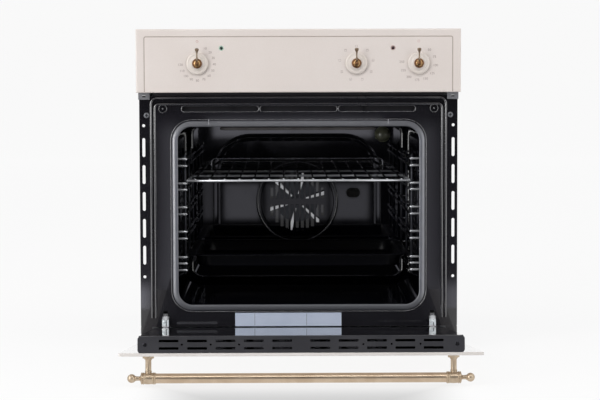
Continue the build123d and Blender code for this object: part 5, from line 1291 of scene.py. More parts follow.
@dataclass
class Gasket:
    """The braided lip round the cavity's mouth, and the hooks that hold it."""

    width: float = 10.5
    corner: float = 36.5
    hook_x: float = 166.0
    hook_wire: float = 0.8

    def build(self) -> None:
        """Builds the lip as a stack of rounded rectangles, and its hooks."""
        low, high = node_box("cavity_gasket")
        size, middle = high - low, (low + high) / 2
        face, back = low[1], high[1]
        thick = back - face
        section = ((0, 0), (0.4, 0.16), (1.4, 0.42), (2.9, 0.68), (4.6, 0.87), (6.3, 0.97), (7.8, 1),
                   (9.0, 0.94), (9.9, 0.7), (10.4, 0.35), (self.width, 0))
        rings = [
            (size[0] - 2 * inset, size[2] - 2 * inset, self.corner - inset, back - thick * depth)
            for inset, depth in section
        ]
        lip = Shape().stack(rings, middle[[0, 2]], on_front, closed=True, steps=14)
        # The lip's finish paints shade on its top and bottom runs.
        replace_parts(lip.piece("gasket_lip", "housing", GASKET, 60), "cavity_gasket")
        hooks = Shape()
        for side in Side:
            x = side.value * self.hook_x
            path = rounded([
                (x, face + 0.7, high[2] - 7.5), (x, face + 0.9, high[2] - 1.0),
                (x, face + 1.8, high[2] + 3.0),
            ], 2)
            hooks.rod(path, self.hook_wire, ACROSS, 8)
            foot = [(9, 3.2, 1.4, face + 0.1), (9, 3.2, 1.4, face + 0.6)]
            hooks.stack(foot, (x, high[2] - 7.5), on_front, steps=4)
        hooks.piece("gasket_hooks", "housing", SPRING_STEEL)


@dataclass
class BackWall:
    """The pressed forms of the cavity's back wall: the fan well's rim and the arch round it."""

    wall_y: float = 410.0
    fan_z: float = 249.0
    rim_radius: float = 82.5
    rim_bead: float = 3.0
    arch_half: float = 158.0
    arch_top: float = 374.0
    arch_foot: float = 112.0
    arch_corner: float = 62.0
    slope_width: float = 15.0
    lift: float = 1.5

    def build(self) -> None:
        """Builds the rim as a half-sunk ring and the arch as a low slanting step."""
        rim = Shape()
        profile = arc((self.rim_radius, 0), (self.rim_bead, 0.7 * self.rim_bead), 0, 2 * math.pi, 15)
        rim.turned(profile, (0, self.wall_y, self.fan_z), TO_VIEWER, UP, 72)
        # The rim takes the lighter cavity enamel copy: painted highlight.
        rim.piece("fan_well_rim", "housing", LIT_CAVITY_EDGE, 60)
        half, foot = self.arch_half, self.arch_foot
        path = rounded([(-half, foot), (-half, self.arch_top), (half, self.arch_top), (half, foot)],
                       self.arch_corner, 12)
        steps = np.gradient(path, axis=0)
        normal = np.stack([-steps[:, 1], steps[:, 0]], axis=1)
        normal = normal / np.linalg.norm(normal, axis=1, keepdims=True)
        rows = [
            on_front(path + normal * across, self.wall_y - depth)
            for across, depth in ((self.slope_width + 1.0, -0.3), (self.slope_width + 1.0, 0.05),
                                  (self.slope_width, self.lift), (self.slope_width - 1.0, self.lift),
                                  (0.0, 0.05), (0.0, -0.3))
        ]
        band = np.stack(rows, axis=1)
        arch = Shape().grid(band, wrap_columns=True).cap(band[0]).cap(band[-1])
        arch.piece("back_wall_arch", "housing", CAVITY_ENAMEL, 60)


@dataclass
class FanWheel:
    """The convection fan's wheel: a disc and hub painted dark as shade, and paddles folded over at the
    front, painted bright as highlight.
    """

    paddle_count: int = 6
    first_angle: float = 13.0
    disc_radius: float = 44.0
    hub_radius: float = 9.0
    hub_length: float = 10.0
    inner_radius: float = 15.0
    inner_lip: float = 3.4
    outer_lip: float = 8.5
    sheet: float = 1.2
    shaft_radius: float = 3.2

    def build(self) -> None:
        """Builds the disc with its hub, and the paddles as folded strips along the radius.

        A paddle's point is the wheel's middle, plus its radius along the paddle, plus its place in the
        folded section across the paddle, plus its height towards the viewer.
        """
        low, high = node_box("fan_blade")
        middle, back = (low + high) / 2, high[1]
        depth, reach = high[1] - low[1], (high[0] - low[0]) / 2 - 2.0
        disc = Shape().turned([
            (self.shaft_radius, 0), (self.disc_radius, 0), (self.disc_radius, self.sheet),
            (self.hub_radius, self.sheet), (self.hub_radius, self.hub_length - 1),
            (self.hub_radius - 1, self.hub_length),
            (self.shaft_radius, self.hub_length), (self.shaft_radius, 0),
        ], (middle[0], back, middle[2]), TO_VIEWER, UP, 64)
        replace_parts(disc.piece("fan_disc", "convection_fan", FAN_DISC_SHADE, 40), "fan_blade")
        paddles = Shape()
        sheet, top = self.sheet, depth - 0.2
        radii = np.linspace(self.inner_radius, reach, 8)[:, None, None]
        lips = np.linspace(self.inner_lip, self.outer_lip, 8)
        section = np.array([(0, 0.3), (0, depth - 2), (0.6, depth - 0.6), (1.6, top), (0, top),
                            (0, top - sheet), (1.8, top - sheet), (sheet, depth - 2.6), (sheet, 0.3)])
        sections = np.repeat(section[None], 8, axis=0)
        sections[:, 4:6, 0] = lips[:, None]
        sides, lifts = sections[..., :1] - sheet / 2, sections[..., 1:]
        start = np.array([middle[0], back, middle[2]])
        for index in range(self.paddle_count):
            angle = math.radians(self.first_angle + index * 360 / self.paddle_count)
            along = np.array([math.cos(angle), 0, math.sin(angle)])
            across = np.array([-math.sin(angle), 0, math.cos(angle)])
            band = start + along * radii + across * sides + np.array(TO_VIEWER) * lifts
            paddles.grid(band, wrap_columns=True).cap(band[0]).cap(band[-1])
        paddles.piece("fan_paddles", "convection_fan", PADDLE_HIGHLIGHT, 30)


@dataclass
class Lamp:
    """The oven lamp's domed glass with its moulded rim."""

    rim: float = 2.2
    wall: float = 1.8

    def build(self) -> None:
        """Builds the glass as a hollow turned dome."""
        low, high = node_box("oven_lamp_glass")
        middle = (low + high) / 2
        radius, height = (high[0] - low[0]) / 2, high[1] - low[1]
        dome = radius - self.rim
        outside = arc((0, self.rim), (dome, height - self.rim), 0.1, math.pi / 2, 12)
        inside = np.maximum(outside[::-1] - self.wall, 0)
        profile = [
            (dome - self.wall, 0), (radius - 0.4, 0), (radius, 0.5), (radius, self.rim - 0.6),
            (radius - 0.5, self.rim), *outside, *inside, (dome - self.wall, 0),
        ]
        glass = Shape().turned(profile, (middle[0], high[1], middle[2]), TO_VIEWER, steps=48)
        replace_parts(glass.piece("lamp_dome", "housing", LAMP_GLASS), "oven_lamp_glass")


@dataclass
class Heaters:
    """The roasting and grill rods under the cavity's top, and the straps that carry them."""

    radius: float = 3.25
    bend: float = 18.0
    roast_half: float = 145.0
    grill_half: float = 95.0
    front_y: float = 60.0
    back_gap: float = 35.0
    lift: float = 9.5
    roast_end_x: float = 24.0
    grill_end_x: float = 8.0
    strap_y: float = 120.0

    def build(self) -> None:
        """Builds both rods and the straps."""
        low, high = node_box("top_elements")
        level, back = low[2] + self.radius + self.lift, high[1]
        inner = back - self.back_gap
        half = [(self.roast_end_x, back), (self.roast_end_x, inner), (self.roast_half, inner),
                (self.roast_half, self.front_y)]
        self._rod(half, self.bend, level).piece("roast_rod", "housing", HEATER)
        step = self.grill_half / 2
        near = self.front_y + 3 * self.bend
        far = inner - 3 * self.bend
        half = [(self.grill_end_x, back), (self.grill_end_x, near), (step, near), (step, far),
                (self.grill_half, far), (self.grill_half, near - 2 * self.bend)]
        grill = self._rod(half, self.bend / 2, level).piece("grill_rod", "housing", HEATER)
        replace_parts(grill, "top_elements")
        straps = Shape()
        for side in Side:
            straps.slab((2.2 * self.radius, 8), 0.6, (side.value * self.roast_half, self.strap_y),
                        level - self.radius, high[2] + self.lift / 2, 0.3, on_table)
        straps.piece("heater_straps", "housing", HEATER)

    def _rod(self, half: Sequence[Point], bend: float, level: float) -> Shape:
        """A rod through a half route and its mirror image, level all the way."""
        route = list(half) + [(-x, y) for x, y in reversed(half)]
        path = on_table(rounded(route, bend, 8), level)
        return Shape().rod(path, self.radius, UP, 14)


@dataclass
class Ladder:
    """One side's guide wires, which bend out to the wall, on three pinned uprights."""

    side: Side
    heights: tuple[float, ...] = (354, 341, 308, 296, 263, 250, 217, 204, 169, 157, 144.5)
    pin_heights: tuple[float, ...] = (150, 347)
    guide_radius: float = 2.25
    upright_radius: float = 2.5
    pin_radius: float = 2.0
    washer_radius: float = 4.2
    front_y: float = 45.0
    middle_y: float = 200.0
    upright_inset: float = 8.0
    upright_reach: float = 3.95
    bend: float = 2.6

    def build(self) -> None:
        """Builds the wires, a bright sleeve of painted highlight over their front stubs, and the uprights
        and pins with their washers in a dark chrome copy: painted shade.
        """
        node = f"side_ladder_{self.side.word}"
        low, high = node_box(node)
        sign = self.side.value
        wall = max(abs(low[0]), abs(high[0]))
        near = min(abs(low[0]), abs(high[0])) + self.guide_radius
        upright = near + self.upright_reach
        back = high[1] - self.guide_radius
        shape, stubs = Shape(), Shape()
        for height in self.heights:
            corners = [(wall, self.front_y), (near, self.front_y), (near, back), (wall, back)]
            path = on_table(rounded(corners, self.bend) * [sign, 1], height)
            shape.rod(path, self.guide_radius, UP)
            # A slightly larger sleeve over each wire's front stub, in the bright chrome copy: painted
            # highlight.
            stubs.rod(path[:4], self.guide_radius + 0.15, UP)
        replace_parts(shape.piece(f"ladder_wires_{self.side.word}", "housing", WIRE_CHROME, 50), node)
        stubs.piece(f"ladder_stub_highlights_{self.side.word}", "housing", WIRE_HIGHLIGHT, 50)
        shape = Shape()
        for y in (self.front_y + self.upright_inset, self.middle_y, back - self.upright_inset):
            ends = np.array([(sign * upright, y, low[2] + 0.8), (sign * upright, y, high[2] - 0.8)])
            shape.rod(ends, self.upright_radius, ACROSS)
            for height in self.pin_heights:
                reach = wall - upright
                pin = [(0, -1), (self.pin_radius, -1), (self.pin_radius, reach - 1.6),
                       (self.washer_radius, reach - 1.5), (self.washer_radius, reach - 0.3), (0, reach)]
                shape.turned(pin, (sign * upright, y, height), (sign, 0, 0), UP, 20)
        # Uprights and pins take the dark chrome copy: painted shade.
        shape.piece(f"ladder_uprights_{self.side.word}", "housing", WIRE_SHADE, 50)


@dataclass
class WireRack:
    """The rack: its side and cross bars, then the rods on top with the guard at its back."""

    bar_radius: float = 2.5
    cross_radius: float = 2.3
    wire_radius: float = 1.7
    wire_count: int = 15
    wire_margin: float = 14.1
    guard_radius: float = 2.1
    guard_inset: float = 32.0
    guard_bend: float = 8.0

    def build(self) -> None:
        """Builds the bars, and the rods with the guard."""
        low, high = node_box("wire_rack")
        half = high[0] - self.bar_radius
        level = low[2] + self.bar_radius
        front, back = low[1] + self.wire_radius, high[1] - self.wire_radius
        guard_top = high[2] - self.guard_radius
        shape = Shape()
        for side in Side:
            x = side.value * half
            ends = np.array([(x, low[1] + 0.8, level), (x, high[1] - 0.8, level)])
            shape.rod(ends, self.bar_radius, UP, 14)
        for y in (front, (front + back) / 2, back):
            shape.rod(np.array([(-half, y, level), (half, y, level)]), self.cross_radius, UP, 14)
        wires = Shape()
        for x in np.linspace(self.wire_margin - half, half - self.wire_margin, self.wire_count):
            ends = np.array([
                (x, low[1] + 0.6, level + self.bar_radius), (x, high[1] - 0.6, level + self.bar_radius)])
            wires.rod(ends, self.wire_radius, ACROSS, 10)
        x = half - self.guard_inset
        guard = rounded([
            (-x, back, level), (-x, back, guard_top), (x, back, guard_top), (x, back, level),
        ], self.guard_bend, 8)
        wires.rod(guard, self.guard_radius, (0, 1, 0), 14)
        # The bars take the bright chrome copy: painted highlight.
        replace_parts(shape.piece("rack_bars", "rack", WIRE_HIGHLIGHT, 50), "wire_rack")
        wires.piece("rack_wires", "rack", WIRE_CHROME, 50)


@dataclass
class BakingTray:
    """The drawn pan with its flange."""

    flange: float = 14.0
    sheet: float = 1.2
    corner: float = 30.0
    lean: float = 9.0
    floor_bend: float = 5.0

    def build(self) -> None:
        """Builds the pan's inside, flange and outside as one closed skin."""
        low, high = node_box("baking_tray")
        size, middle = high - low, (low + high) / 2
        top, bottom = high[2], low[2]
        width, length = size[0], size[1]
        well = (width - 2 * self.flange, length - 2 * self.flange)
        slope = math.tan(math.radians(self.lean))

        def ring(inset: float, level: float, corner: float) -> tuple[float, float, float, float]:
            """A ring set in from the well's rim."""
            return well[0] - 2 * inset, well[1] - 2 * inset, max(corner - inset, 2), level

        floor_in = bottom + self.sheet
        inside = [ring(self.sheet + (top - floor_in) * slope + self.floor_bend + 30, floor_in, 45)]
        for share in np.linspace(0, 1, 6):
            angle = share * math.pi / 2
            inset = self.sheet + (top - floor_in) * slope + self.floor_bend * (1 - math.sin(angle))
            inside.append(ring(inset, floor_in + self.floor_bend * (1 - math.cos(angle)), self.corner + 4))
        inside.append(ring(self.sheet + 1.4 * slope, top - 1.4, self.corner))
        inside.append(ring(self.sheet - 0.5, top - 0.4, self.corner))
        rim = [
            (well[0] + 1.0, well[1] + 1.0, self.corner, top),
            (width - 1.6, length - 1.6, self.corner - 1, top),
            (width - 0.4, length - 0.4, self.corner, top - 0.4), (width, length, self.corner, top - 0.8),
            (width - 0.4, length - 0.4, self.corner, top - self.sheet),
            (well[0] + 0.6, well[1] + 0.6, self.corner, top - self.sheet),
        ]
        outside = []
        for share in np.linspace(1, 0, 6):
            angle = share * math.pi / 2
            inset = (top - bottom) * slope + self.floor_bend * (1 - math.sin(angle))
            outside.append(ring(inset, bottom + self.floor_bend * (1 - math.cos(angle)), self.corner + 4))
        pan = Shape().stack([*inside, *rim, *outside], middle[:2], on_table, steps=12)
        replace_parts(pan.piece("tray_pan", "tray", TRAY_ENAMEL, 40), "baking_tray")


# Door


@dataclass(frozen=True)
class DoorFrame:
    """The open door's own axes: along it from the pivot, and outwards from its inner face."""

    pivot_y: float = -12.0
    pivot_z: float = 35.0
    lean: float = math.radians(84.2)

    @property
    def along(self) -> Array:
        """The direction from the pivot to the door's top edge."""
        return np.array([0, -math.sin(self.lean), math.cos(self.lean)])

    @property
    def outward(self) -> Array:
        """The direction out of the door's outer face."""
        return np.array([0, -math.cos(self.lean), -math.sin(self.lean)])

    def point(self, x: float | Array, along: float | Array, outward: float | Array) -> Array:
        """A point in the oven's axes, or many of them.

        Args:
            x: The place across.
            along: The distance from the pivot towards the top edge.
            outward: The distance out from the pivot.

        Returns:
            The point, or an array of them with the three axes last.
        """
        across, rise, out = (part[..., None] for part in np.broadcast_arrays(x, along, outward))
        pivot = np.array([0, self.pivot_y, self.pivot_z])
        return pivot + across * np.array(ACROSS) + rise * self.along + out * self.outward


@dataclass
class Door:
    """The door's small parts: its top cap's screws and the print behind its panel."""

    axes: DoorFrame = field(default_factory=DoorFrame)
    top: float = 440.0
    screw_x: float = 254.0
    screw_out: float = 5.0
    screw_radius: float = 3.6
    panel_back: float = 20.0
    print_start: float = -15.0
    print_end: float = 436.0
    print_inner: float = 266.5
    print_outer: float = 294.5

    def build(self) -> None:
        """Builds the cap's screws and the print."""
        places = [self.axes.point(side.value * self.screw_x, self.top, self.screw_out) for side in Side]
        Screws("cap_screw", "door", self.axes.along, self.axes.outward, places, self.screw_radius, 0.8,
               BLACK_SCREW).build()
        self._panel_back()

    def _panel_back(self) -> None:
        """The grey print on the outer panel's inner face, seen as a strip beside the door's frame."""
        back = Shape()
        steps = np.linspace(self.print_start, self.print_end, 12)[None, :]
        places = np.array([self.print_inner, self.print_inner, self.print_outer, self.print_outer])[:, None]
        lifts = np.array([0.0, 0.06, 0.06, 0.0])[:, None]
        for side in Side:
            rows = self.axes.point(side.value * places, steps, self.panel_back - lifts)
            back.grid(rows, wrap_rows=True).cap(rows[:, 0]).cap(rows[:, -1])
        back.piece("panel_back_print", "door", PANEL_PRINT)


@dataclass
class HingeClip:
    """The plated face of one hinge's locking clip, with dark dashes of painted shade along its fold line,
    and its rivet.
    """

    side: Side
    hinge_x: float = 248.0
    width: float = 11.6
    foot: Point = (-16.4, 45.0)
    head: Point = (-9.2, 68.6)
    clip_end: float = 0.53
    sheet: float = 0.9
    fold_place: float = 1.6
    fold_width: float = 1.8
    dash_reach: tuple[float, float] = (0.04, 0.42)
    dash_count: int = 4
    dash_share: float = 0.1
    rivet_height: float = 1.8
    rivet_radius: float = 2.9
    rivet_share: float = 0.39
    rivet_places: tuple[float, float] = (-2.8, 0.4)

    def build(self) -> None:
        """Builds the face, the dark dashes of painted shade along its fold, and the rivet."""
        word, sign = self.side.word, self.side.value
        body = f"hinge_clip_{word}_body"
        foot, head = np.array(self.foot), np.array(self.head)
        middle = sign * self.hinge_x
        half = self.width / 2
        run = head - foot
        ends = np.array([foot, foot + run * self.clip_end])
        face = Shape().strip(ends, self.sheet, middle - half, middle + half, on_side)
        face.piece(f"clip_face_{word}", body, ZINC_BRIGHT)
        ahead = np.array([-run[1], run[0]]) / np.linalg.norm(run)
        fold = middle + self.fold_place
        dashes = Shape()
        for start in np.linspace(*self.dash_reach, self.dash_count):
            dash = np.array([foot + run * start, foot + run * (start + self.dash_share)])
            dashes.strip(dash + ahead * (self.sheet / 2), 0.3, fold - self.fold_width / 2,
                         fold + self.fold_width / 2, on_side)
        # The dashes are painted shade in the fold.
        dashes.piece(f"clip_fold_shade_{word}", body, RECESS_SHADE)
        seat = foot + run * self.rivet_share + ahead * (self.sheet / 2 - 0.2)
        dome = arc((0, 0), (self.rivet_radius, self.rivet_height), 0, math.pi / 2, 8)
        rivet = Shape().turned(
            [(0, 0), *dome], (middle + self.rivet_places[sign > 0], *seat), (0, *ahead), ACROSS, 24)
        rivet.piece(f"clip_rivet_{word}", body, ZINC_BRIGHT)


@dataclass
class Handle:
    """The antique brass handle: a bar, two turned ends with ball finials, and two posts."""

    axes: DoorFrame = field(default_factory=DoorFrame)
    bar_along: float = 402.0
    bar_out: float = 61.7
    door_face: float = 24.0
    bar_radius: float = 8.2
    collar_radius: float = 10.0
    collar_start: float = 238.75
    collar_end: float = 263.25
    post_x: float = 251.0
    post_radius: float = 5.0
    flange_radius: float = 9.6
    ball_reach: float = 278.4
    ball_radius: float = 7.3
    neck_radius: float = 3.6

    def build(self) -> None:
        """Builds the bar, the two ends and the posts."""
        centre = self.axes.point(0, self.bar_along, self.bar_out)
        reach = self.collar_start
        profile = [(0, -reach), (self.bar_radius, -reach), (self.bar_radius, 0), (self.bar_radius, reach),
                   (0, reach)]
        bar = Shape().turned(profile, centre, ACROSS, UP, 72)
        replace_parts(bar.piece("handle_rod", "door", ANTIQUE_BRASS), "handle_bar")
        ends, posts = Shape(), Shape()
        for side in Side:
            ends.turned(self._end_profile(), centre, (side.value, 0, 0), UP, 64)
            foot = self.axes.point(side.value * self.post_x, self.bar_along, self.door_face)
            posts.turned(self._post_profile(), foot, self.axes.outward, ACROSS, 48)
        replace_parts(ends.piece("handle_turned_ends", "door", BRASS_SATIN, 40), "handle_finials")
        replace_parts(posts.piece("handle_pillars", "door", BRASS_SATIN, 40), "handle_posts")

    def _end_profile(self) -> list[Point]:
        """Radius by distance from the middle: a beaded collar, a neck and a ball."""
        start, end, radius = self.collar_start, self.collar_end, self.collar_radius
        rows = [(0, start), (radius - 1.0, start)]
        for middle in (start + 1.6, start + 4.2, end - 4.2, end - 1.6):
            for share in np.linspace(-1, 1, 7):
                swell = math.sqrt(max(1 - share**2, 0))
                rows.append((radius - 0.9 + 0.9 * swell, middle + 1.1 * share))
        rows.insert(16, (radius - 0.7, start + 6.2))
        rows.insert(17, (radius - 0.3, (start + end) / 2))
        rows.insert(18, (radius - 0.7, end - 6.2))
        ball_start = self.ball_reach - self.ball_radius
        rows += [(radius - 1.6, end), (self.neck_radius + 1.6, end + 0.8), (self.neck_radius, end + 2.0),
                 (self.neck_radius, ball_start - 0.4), (self.neck_radius + 0.9, ball_start + 0.1),
                 (self.neck_radius + 0.6, ball_start + 0.7)]
        rows += [
            (self.ball_radius * math.sin(a), self.ball_reach - self.ball_radius * math.cos(a))
            for a in np.linspace(0.62, math.pi, 16)
        ]
        return rows

    def _post_profile(self) -> list[Point]:
        """Radius by distance from the door: a thin stepped flange, a straight stem and its seat."""
        reach = self.bar_out - self.door_face
        stem, flange = self.post_radius, self.flange_radius
        return [
            (0, 0), (flange, 0), (flange, 4.2), (flange - 0.5, 4.8), (stem + 1.6, 5.2), (stem + 1.4, 6.4),
            (stem + 0.5, 7.2), (stem, 8.2), (stem, reach - 13), (stem + 0.7, reach - 12.2),
            (stem + 0.9, reach - 11.4), (stem + 0.6, reach - 10.6), (stem + 0.2, reach - 10.2),
            (stem + 0.2, reach - 4), (0, reach - 4),
        ]


# Carcass


@dataclass
class Carcass:
    """The screws that hold the outer sheets together."""

    side_inset: float = 12.0
    heights: tuple[float, ...] = (80.0, 300.0, 520.0)
    back_places: tuple[float, ...] = (-268.0, 268.0)
    lid_places: tuple[float, ...] = (-250.0, -90.0, 90.0, 250.0)
    screw_radius: float = 3.6
    screw_height: float = 1.4

    def build(self) -> None:
        """Builds the rear panel's and the lid's screws."""
        _, rear = node_box("rear_panel")
        places = [(x, rear[1], z) for x in self.back_places for z in self.heights]
        sizes = (self.screw_radius, self.screw_height)
        Screws("rear_screw", "housing", (0, 1, 0), UP, places, *sizes).build()
        low, high = node_box("top_cover")
        places = [(x, high[1] - self.side_inset, high[2]) for x in self.lid_places]
        Screws("lid_screw", "housing", UP, ACROSS, places, *sizes).build()


# Studio


@dataclass
class Softbox:
    """One large soft lamp that looks at a point of the oven."""

    name: str
    place: Point
    target: Point
    width: float
    height: float
    power: float

    def build(self) -> None:
        """Builds the lamp."""
        light = bpy.data.lights.new(self.name, "AREA")
        light.shape = "RECTANGLE"
        light.size = self.width
        light.size_y = self.height
        light.energy = self.power
        lamp = bpy.data.objects.new(self.name, light)
        lamp.location = self.place
        aim = Vector(self.target) - Vector(self.place)
        lamp.rotation_euler = aim.to_track_quat("-Z", "Y").to_euler()
        bpy.context.scene.collection.objects.link(lamp)


@dataclass
class Studio:
    """The white sweep, the soft lamps, the surroundings and the camera.

    In front of the oven the sweep shows white to the camera alone, so that the enamel mirrors
    a dark room.
    """

    sweep_front: float = -6.0
    sweep_back: float = 9.0
    mirrored_edge: tuple[float, float] = (-0.66, -0.58)
    sweep_half: float = 6.0
    sweep_top: float = 4.0
    sweep_bend: float = 1.2
    sweep_glow: float = 0.832
    sweep_base: float = 0.16
    # A painted shadow on the floor: its glow dips in a fixed patch in front of the oven, not cast by it.
    painted_shadow_sides: tuple[float, float] = (0.13, 0.28)
    painted_shadow_depth: tuple[float, float] = (-0.56, -0.36)
    painted_shadow_front: tuple[float, float] = (-1.3, -0.62)
    painted_shadow_dip: float = 0.34
    world_strength: float = 0.015
    side_edge: tuple[float, float] = (0.28, 0.5)
    above_edge: tuple[float, float] = (0.42, 0.7)
    below_edge: tuple[float, float] = (0.25, 0.5)
    side_glow: float = 0.72
    above_glow: float = 0.4
    below_glow: float = 0.12
    card_place: float = -4.3
    card_size: tuple[float, float] = (2.0, 3.2)
    card_steps: tuple[int, int] = (300, 440)
    card_glow: float = 0.008
    card_tint: Point = (0.97, 0.97, 1.1)
    card_patches: tuple[tuple[float, float, float, float, float, float], ...] = (
        (-0.30, -0.14, -0.15, 0.01, 0.012, 0.55),
        (0.19, 0.36, -0.15, 0.01, 0.012, 0.46),
        (-0.11, 0.17, -0.15, 0.01, 0.012, 0.30),
        (-0.35, 0.38, 0.225, 0.330, 0.014, 1.05),
        (-0.40, -0.35, -0.15, 0.03, 0.02, 0.3),
        (-0.76, -0.585, -0.62, -0.36, 0.04, 2.6),
        (0.64, 0.84, -0.62, -0.36, 0.04, 1.6),
        (-0.70, 0.70, 1.15, 1.55, 0.06, 0.3),
        (-0.53, -0.46, -0.50, 0.30, 0.05, 0.8),
        (0.52, 0.60, -0.50, 0.30, 0.05, 0.6),
    )
    camera_place: Point = (-26.9, -3487.3, 512.4)
    camera_pitch: float = 3.824
    camera_yaw: float = 0.481
    camera_roll: float = -0.156
    camera_lens: float = 113.0

    def build(self) -> None:
        """Builds everything that isn't the oven."""
        self._sweep()
        self._world()
        for box in (
            Softbox("lamp_left", (-2.6, -2.4, 1.1), (0, 0, 0.3), 1.2, 2.4, 44),
            Softbox("lamp_right", (2.6, -2.4, 1.1), (0, 0, 0.3), 1.2, 2.4, 11),
            Softbox("lamp_top", (0, -2.4, 2.6), (0, 0.1, 0.3), 2.4, 0.5, 22),
            Softbox("lamp_fan", (0, 0.415, 0.249), (0, 0.6, 0.249), 0.14, 0.12, 0.018),
        ):
            box.build()
        self._room_card()
        self._camera()

    def _sweep(self) -> None:
        """A floor that bends up into a backdrop: a rounded side view carried across, with a shadow painted
        into its glow in front of the oven.
        """
        side = rounded([(self.sweep_front, 0), (self.sweep_back, 0), (self.sweep_back, self.sweep_top)],
                       self.sweep_bend, 16)
        rows = np.array([on_side(side, x) for x in (-self.sweep_half, self.sweep_half)])
        shape = Shape().grid(rows)
        mesh = bpy.data.meshes.new("sweep")
        mesh.from_pydata(np.vstack(shape.points).tolist(), [], shape.faces)
        mesh.shade_smooth()
        material = bpy.data.materials.new("sweep_paper")
        material.use_nodes = True
        wiring = Wiring(material.node_tree)
        shader = material.node_tree.nodes["Principled BSDF"]
        across, back, _ = wiring.parts(wiring.place())
        # Painted shadow: the glow dips where the floor lies near the middle and in front of the oven, fixed
        # in place.
        beside = wiring.window(wiring.maths("ABSOLUTE", across), *self.painted_shadow_sides)
        behind = wiring.window(back, *self.painted_shadow_depth)
        before = wiring.maths("SUBTRACT", 1.0, wiring.window(back, *self.painted_shadow_front))
        lit = wiring.maths("MAXIMUM", wiring.maths("MAXIMUM", beside, behind), before)
        painted_shadow = wiring.times(wiring.maths("SUBTRACT", 1.0, lit), self.painted_shadow_dip)
        seen = wiring.maths("MAXIMUM", wiring.node("ShaderNodeLightPath").outputs["Is Camera Ray"],
                            wiring.window(back, *self.mirrored_edge))
        wiring.feed(wiring.maths("SUBTRACT", self.sweep_glow, painted_shadow), shader.inputs["Emission Strength"])
        shader.inputs["Base Color"].default_value = (self.sweep_base,) * 3 + (1,)
        wiring.feed(seen, shader.inputs["Alpha"])
        shader.inputs["Roughness"].default_value = 0.9
        shader.inputs["Specular IOR Level"].default_value = 0.0
        shader.inputs["Emission Color"].default_value = (1, 1, 1, 1)
        mesh.materials.append(material)
        sweep = bpy.data.objects.new("sweep", mesh)
        bpy.context.scene.collection.objects.link(sweep)

    def _room_card(self) -> None:
        """The lit parts of the room behind the camera, which the enamel mirrors.

        The glow at a point is an even level plus, for each patch, its level times a smooth step up and down
        across and a smooth step up and down in height.
        """
        half_width, half_height = self.card_size[0] / 2, self.card_size[1] / 2
        across = np.linspace(-half_width, half_width, self.card_steps[0])
        up = np.linspace(-half_height, half_height, self.card_steps[1])
        x, z = np.meshgrid(across, up)
        glow = np.full(x.shape, self.card_glow)
        for left, right, low, high, soft, level in self.card_patches:
            wide = self._step(x, left, soft) * self._step(-x, -right, soft)
            tall = self._step(z, low, soft) * self._step(-z, -high, soft)
            glow += level * wide * tall
        points = np.stack([x, np.full(x.shape, self.card_place), z], axis=-1)
        shape = Shape().grid(points)
        mesh = bpy.data.meshes.new("room_card")
        mesh.from_pydata(np.vstack(shape.points).tolist(), [], shape.faces)
        values = mesh.attributes.new("glow", "FLOAT", "POINT")
        values.data.foreach_set("value", glow.ravel().astype(np.float32))
        material = bpy.data.materials.new("room_card")
        material.use_nodes = True
        material.node_tree.nodes.clear()
        wiring = Wiring(material.node_tree)
        level = wiring.node("ShaderNodeAttribute", attribute_name="glow").outputs["Fac"]
        lamp = wiring.node("ShaderNodeEmission")
        wiring.feed(level, lamp.inputs["Strength"])
        lamp.inputs["Color"].default_value = (*self.card_tint, 1)
        wiring.feed(lamp.outputs[0], wiring.node("ShaderNodeOutputMaterial").inputs["Surface"])
        mesh.materials.append(material)
        card = bpy.data.objects.new("room_card", mesh)
        bpy.context.scene.collection.objects.link(card)

    @staticmethod
    def _step(value: Array, edge: float, soft: float) -> Array:
        """Rises smoothly from 0 to 1 about an edge, over twice the softness."""
        share = np.clip((value - edge) / (2 * soft) + 0.5, 0, 1)
        return share * share * (3 - 2 * share)

    def _world(self) -> None:
        """The room round the card: bright to both sides, softer above and below, dark straight ahead.

        The strength in a direction is an even level, plus the level of the sides by how far the direction
        turns sideways, plus those of the ceiling and the floor by how far it points up or down.
        """
        world = bpy.data.worlds.new("room")
        world.use_nodes = True
        wiring = Wiring(world.node_tree)
        across, _, up = wiring.parts(wiring.node("ShaderNodeTexCoord").outputs["Generated"])
        sides = wiring.window(wiring.maths("ABSOLUTE", across), *self.side_edge)
        above = wiring.window(up, *self.above_edge)
        below = wiring.window(wiring.times(up, -1.0), *self.below_edge)
        strength = self.world_strength
        for share, level in ((sides, self.side_glow), (above, self.above_glow), (below, self.below_glow)):
            strength = wiring.maths("ADD", strength, wiring.times(share, level))
        background = world.node_tree.nodes["Background"]
        background.inputs["Color"].default_value = (1, 1, 1, 1)
        wiring.feed(strength, background.inputs["Strength"])
        bpy.context.scene.world = world
        bpy.context.scene.view_settings.view_transform = "Standard"

    def _camera(self) -> None:
        """The camera, placed by its pitch down, its yaw to the right and its roll."""
        pitch, yaw, roll = (math.radians(a) for a in (self.camera_pitch, self.camera_yaw, self.camera_roll))
        right = Vector((math.cos(yaw), -math.sin(yaw), 0))
        ahead = Vector((math.sin(yaw) * math.cos(pitch), math.cos(yaw) * math.cos(pitch), -math.sin(pitch)))
        over = right.cross(ahead)
        across = right * math.cos(roll) + over * math.sin(roll)
        above = over * math.cos(roll) - right * math.sin(roll)
        data = bpy.data.cameras.new("camera")
        data.lens = self.camera_lens
        data.sensor_width = 36.0
        data.clip_end = 50.0
        camera = bpy.data.objects.new("camera", data)
        turn = Matrix((across, above, -ahead)).transposed().to_4x4()
        camera.matrix_world = Matrix.Translation(Vector(self.camera_place) * MM) @ turn
        bpy.context.scene.collection.objects.link(camera)
        bpy.context.scene.camera = camera


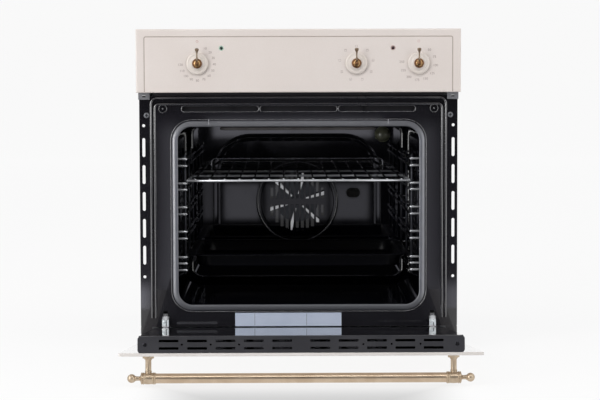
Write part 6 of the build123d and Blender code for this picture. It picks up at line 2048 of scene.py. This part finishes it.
def dress_frame() -> None:
    """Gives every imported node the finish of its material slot."""
    for name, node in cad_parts.items():
        for index, old in enumerate(list(node.data.materials)):
            slot = old.name.split(".")[0] if old else ""
            finish = NODE_FINISHES.get(name, CAD_FINISHES.get(slot))
            if finish:
                node.data.materials[index] = finish.material()
            else:
                LOG.warning("node %s has no finish for %r", name, slot)


def main() -> None:
    """Builds and dresses the oven and its studio."""
    logging.basicConfig(level=logging.INFO, format="%(message)s")
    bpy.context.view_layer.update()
    dress_frame()
    assemblies = [
        ControlPanel(), Knob("timer"), Knob("selector"), Knob("thermostat"), FrontFrame(), Gasket(),
        BackWall(), FanWheel(), Lamp(), Heaters(), Ladder(Side.LEFT), Ladder(Side.RIGHT), WireRack(),
        BakingTray(), Door(), HingeClip(Side.LEFT), HingeClip(Side.RIGHT), Handle(), Carcass(), Studio(),
    ]
    for assembly in assemblies:
        assembly.build()
        LOG.info("built %s", type(assembly).__name__)


if __name__ == "__main__":
    main()
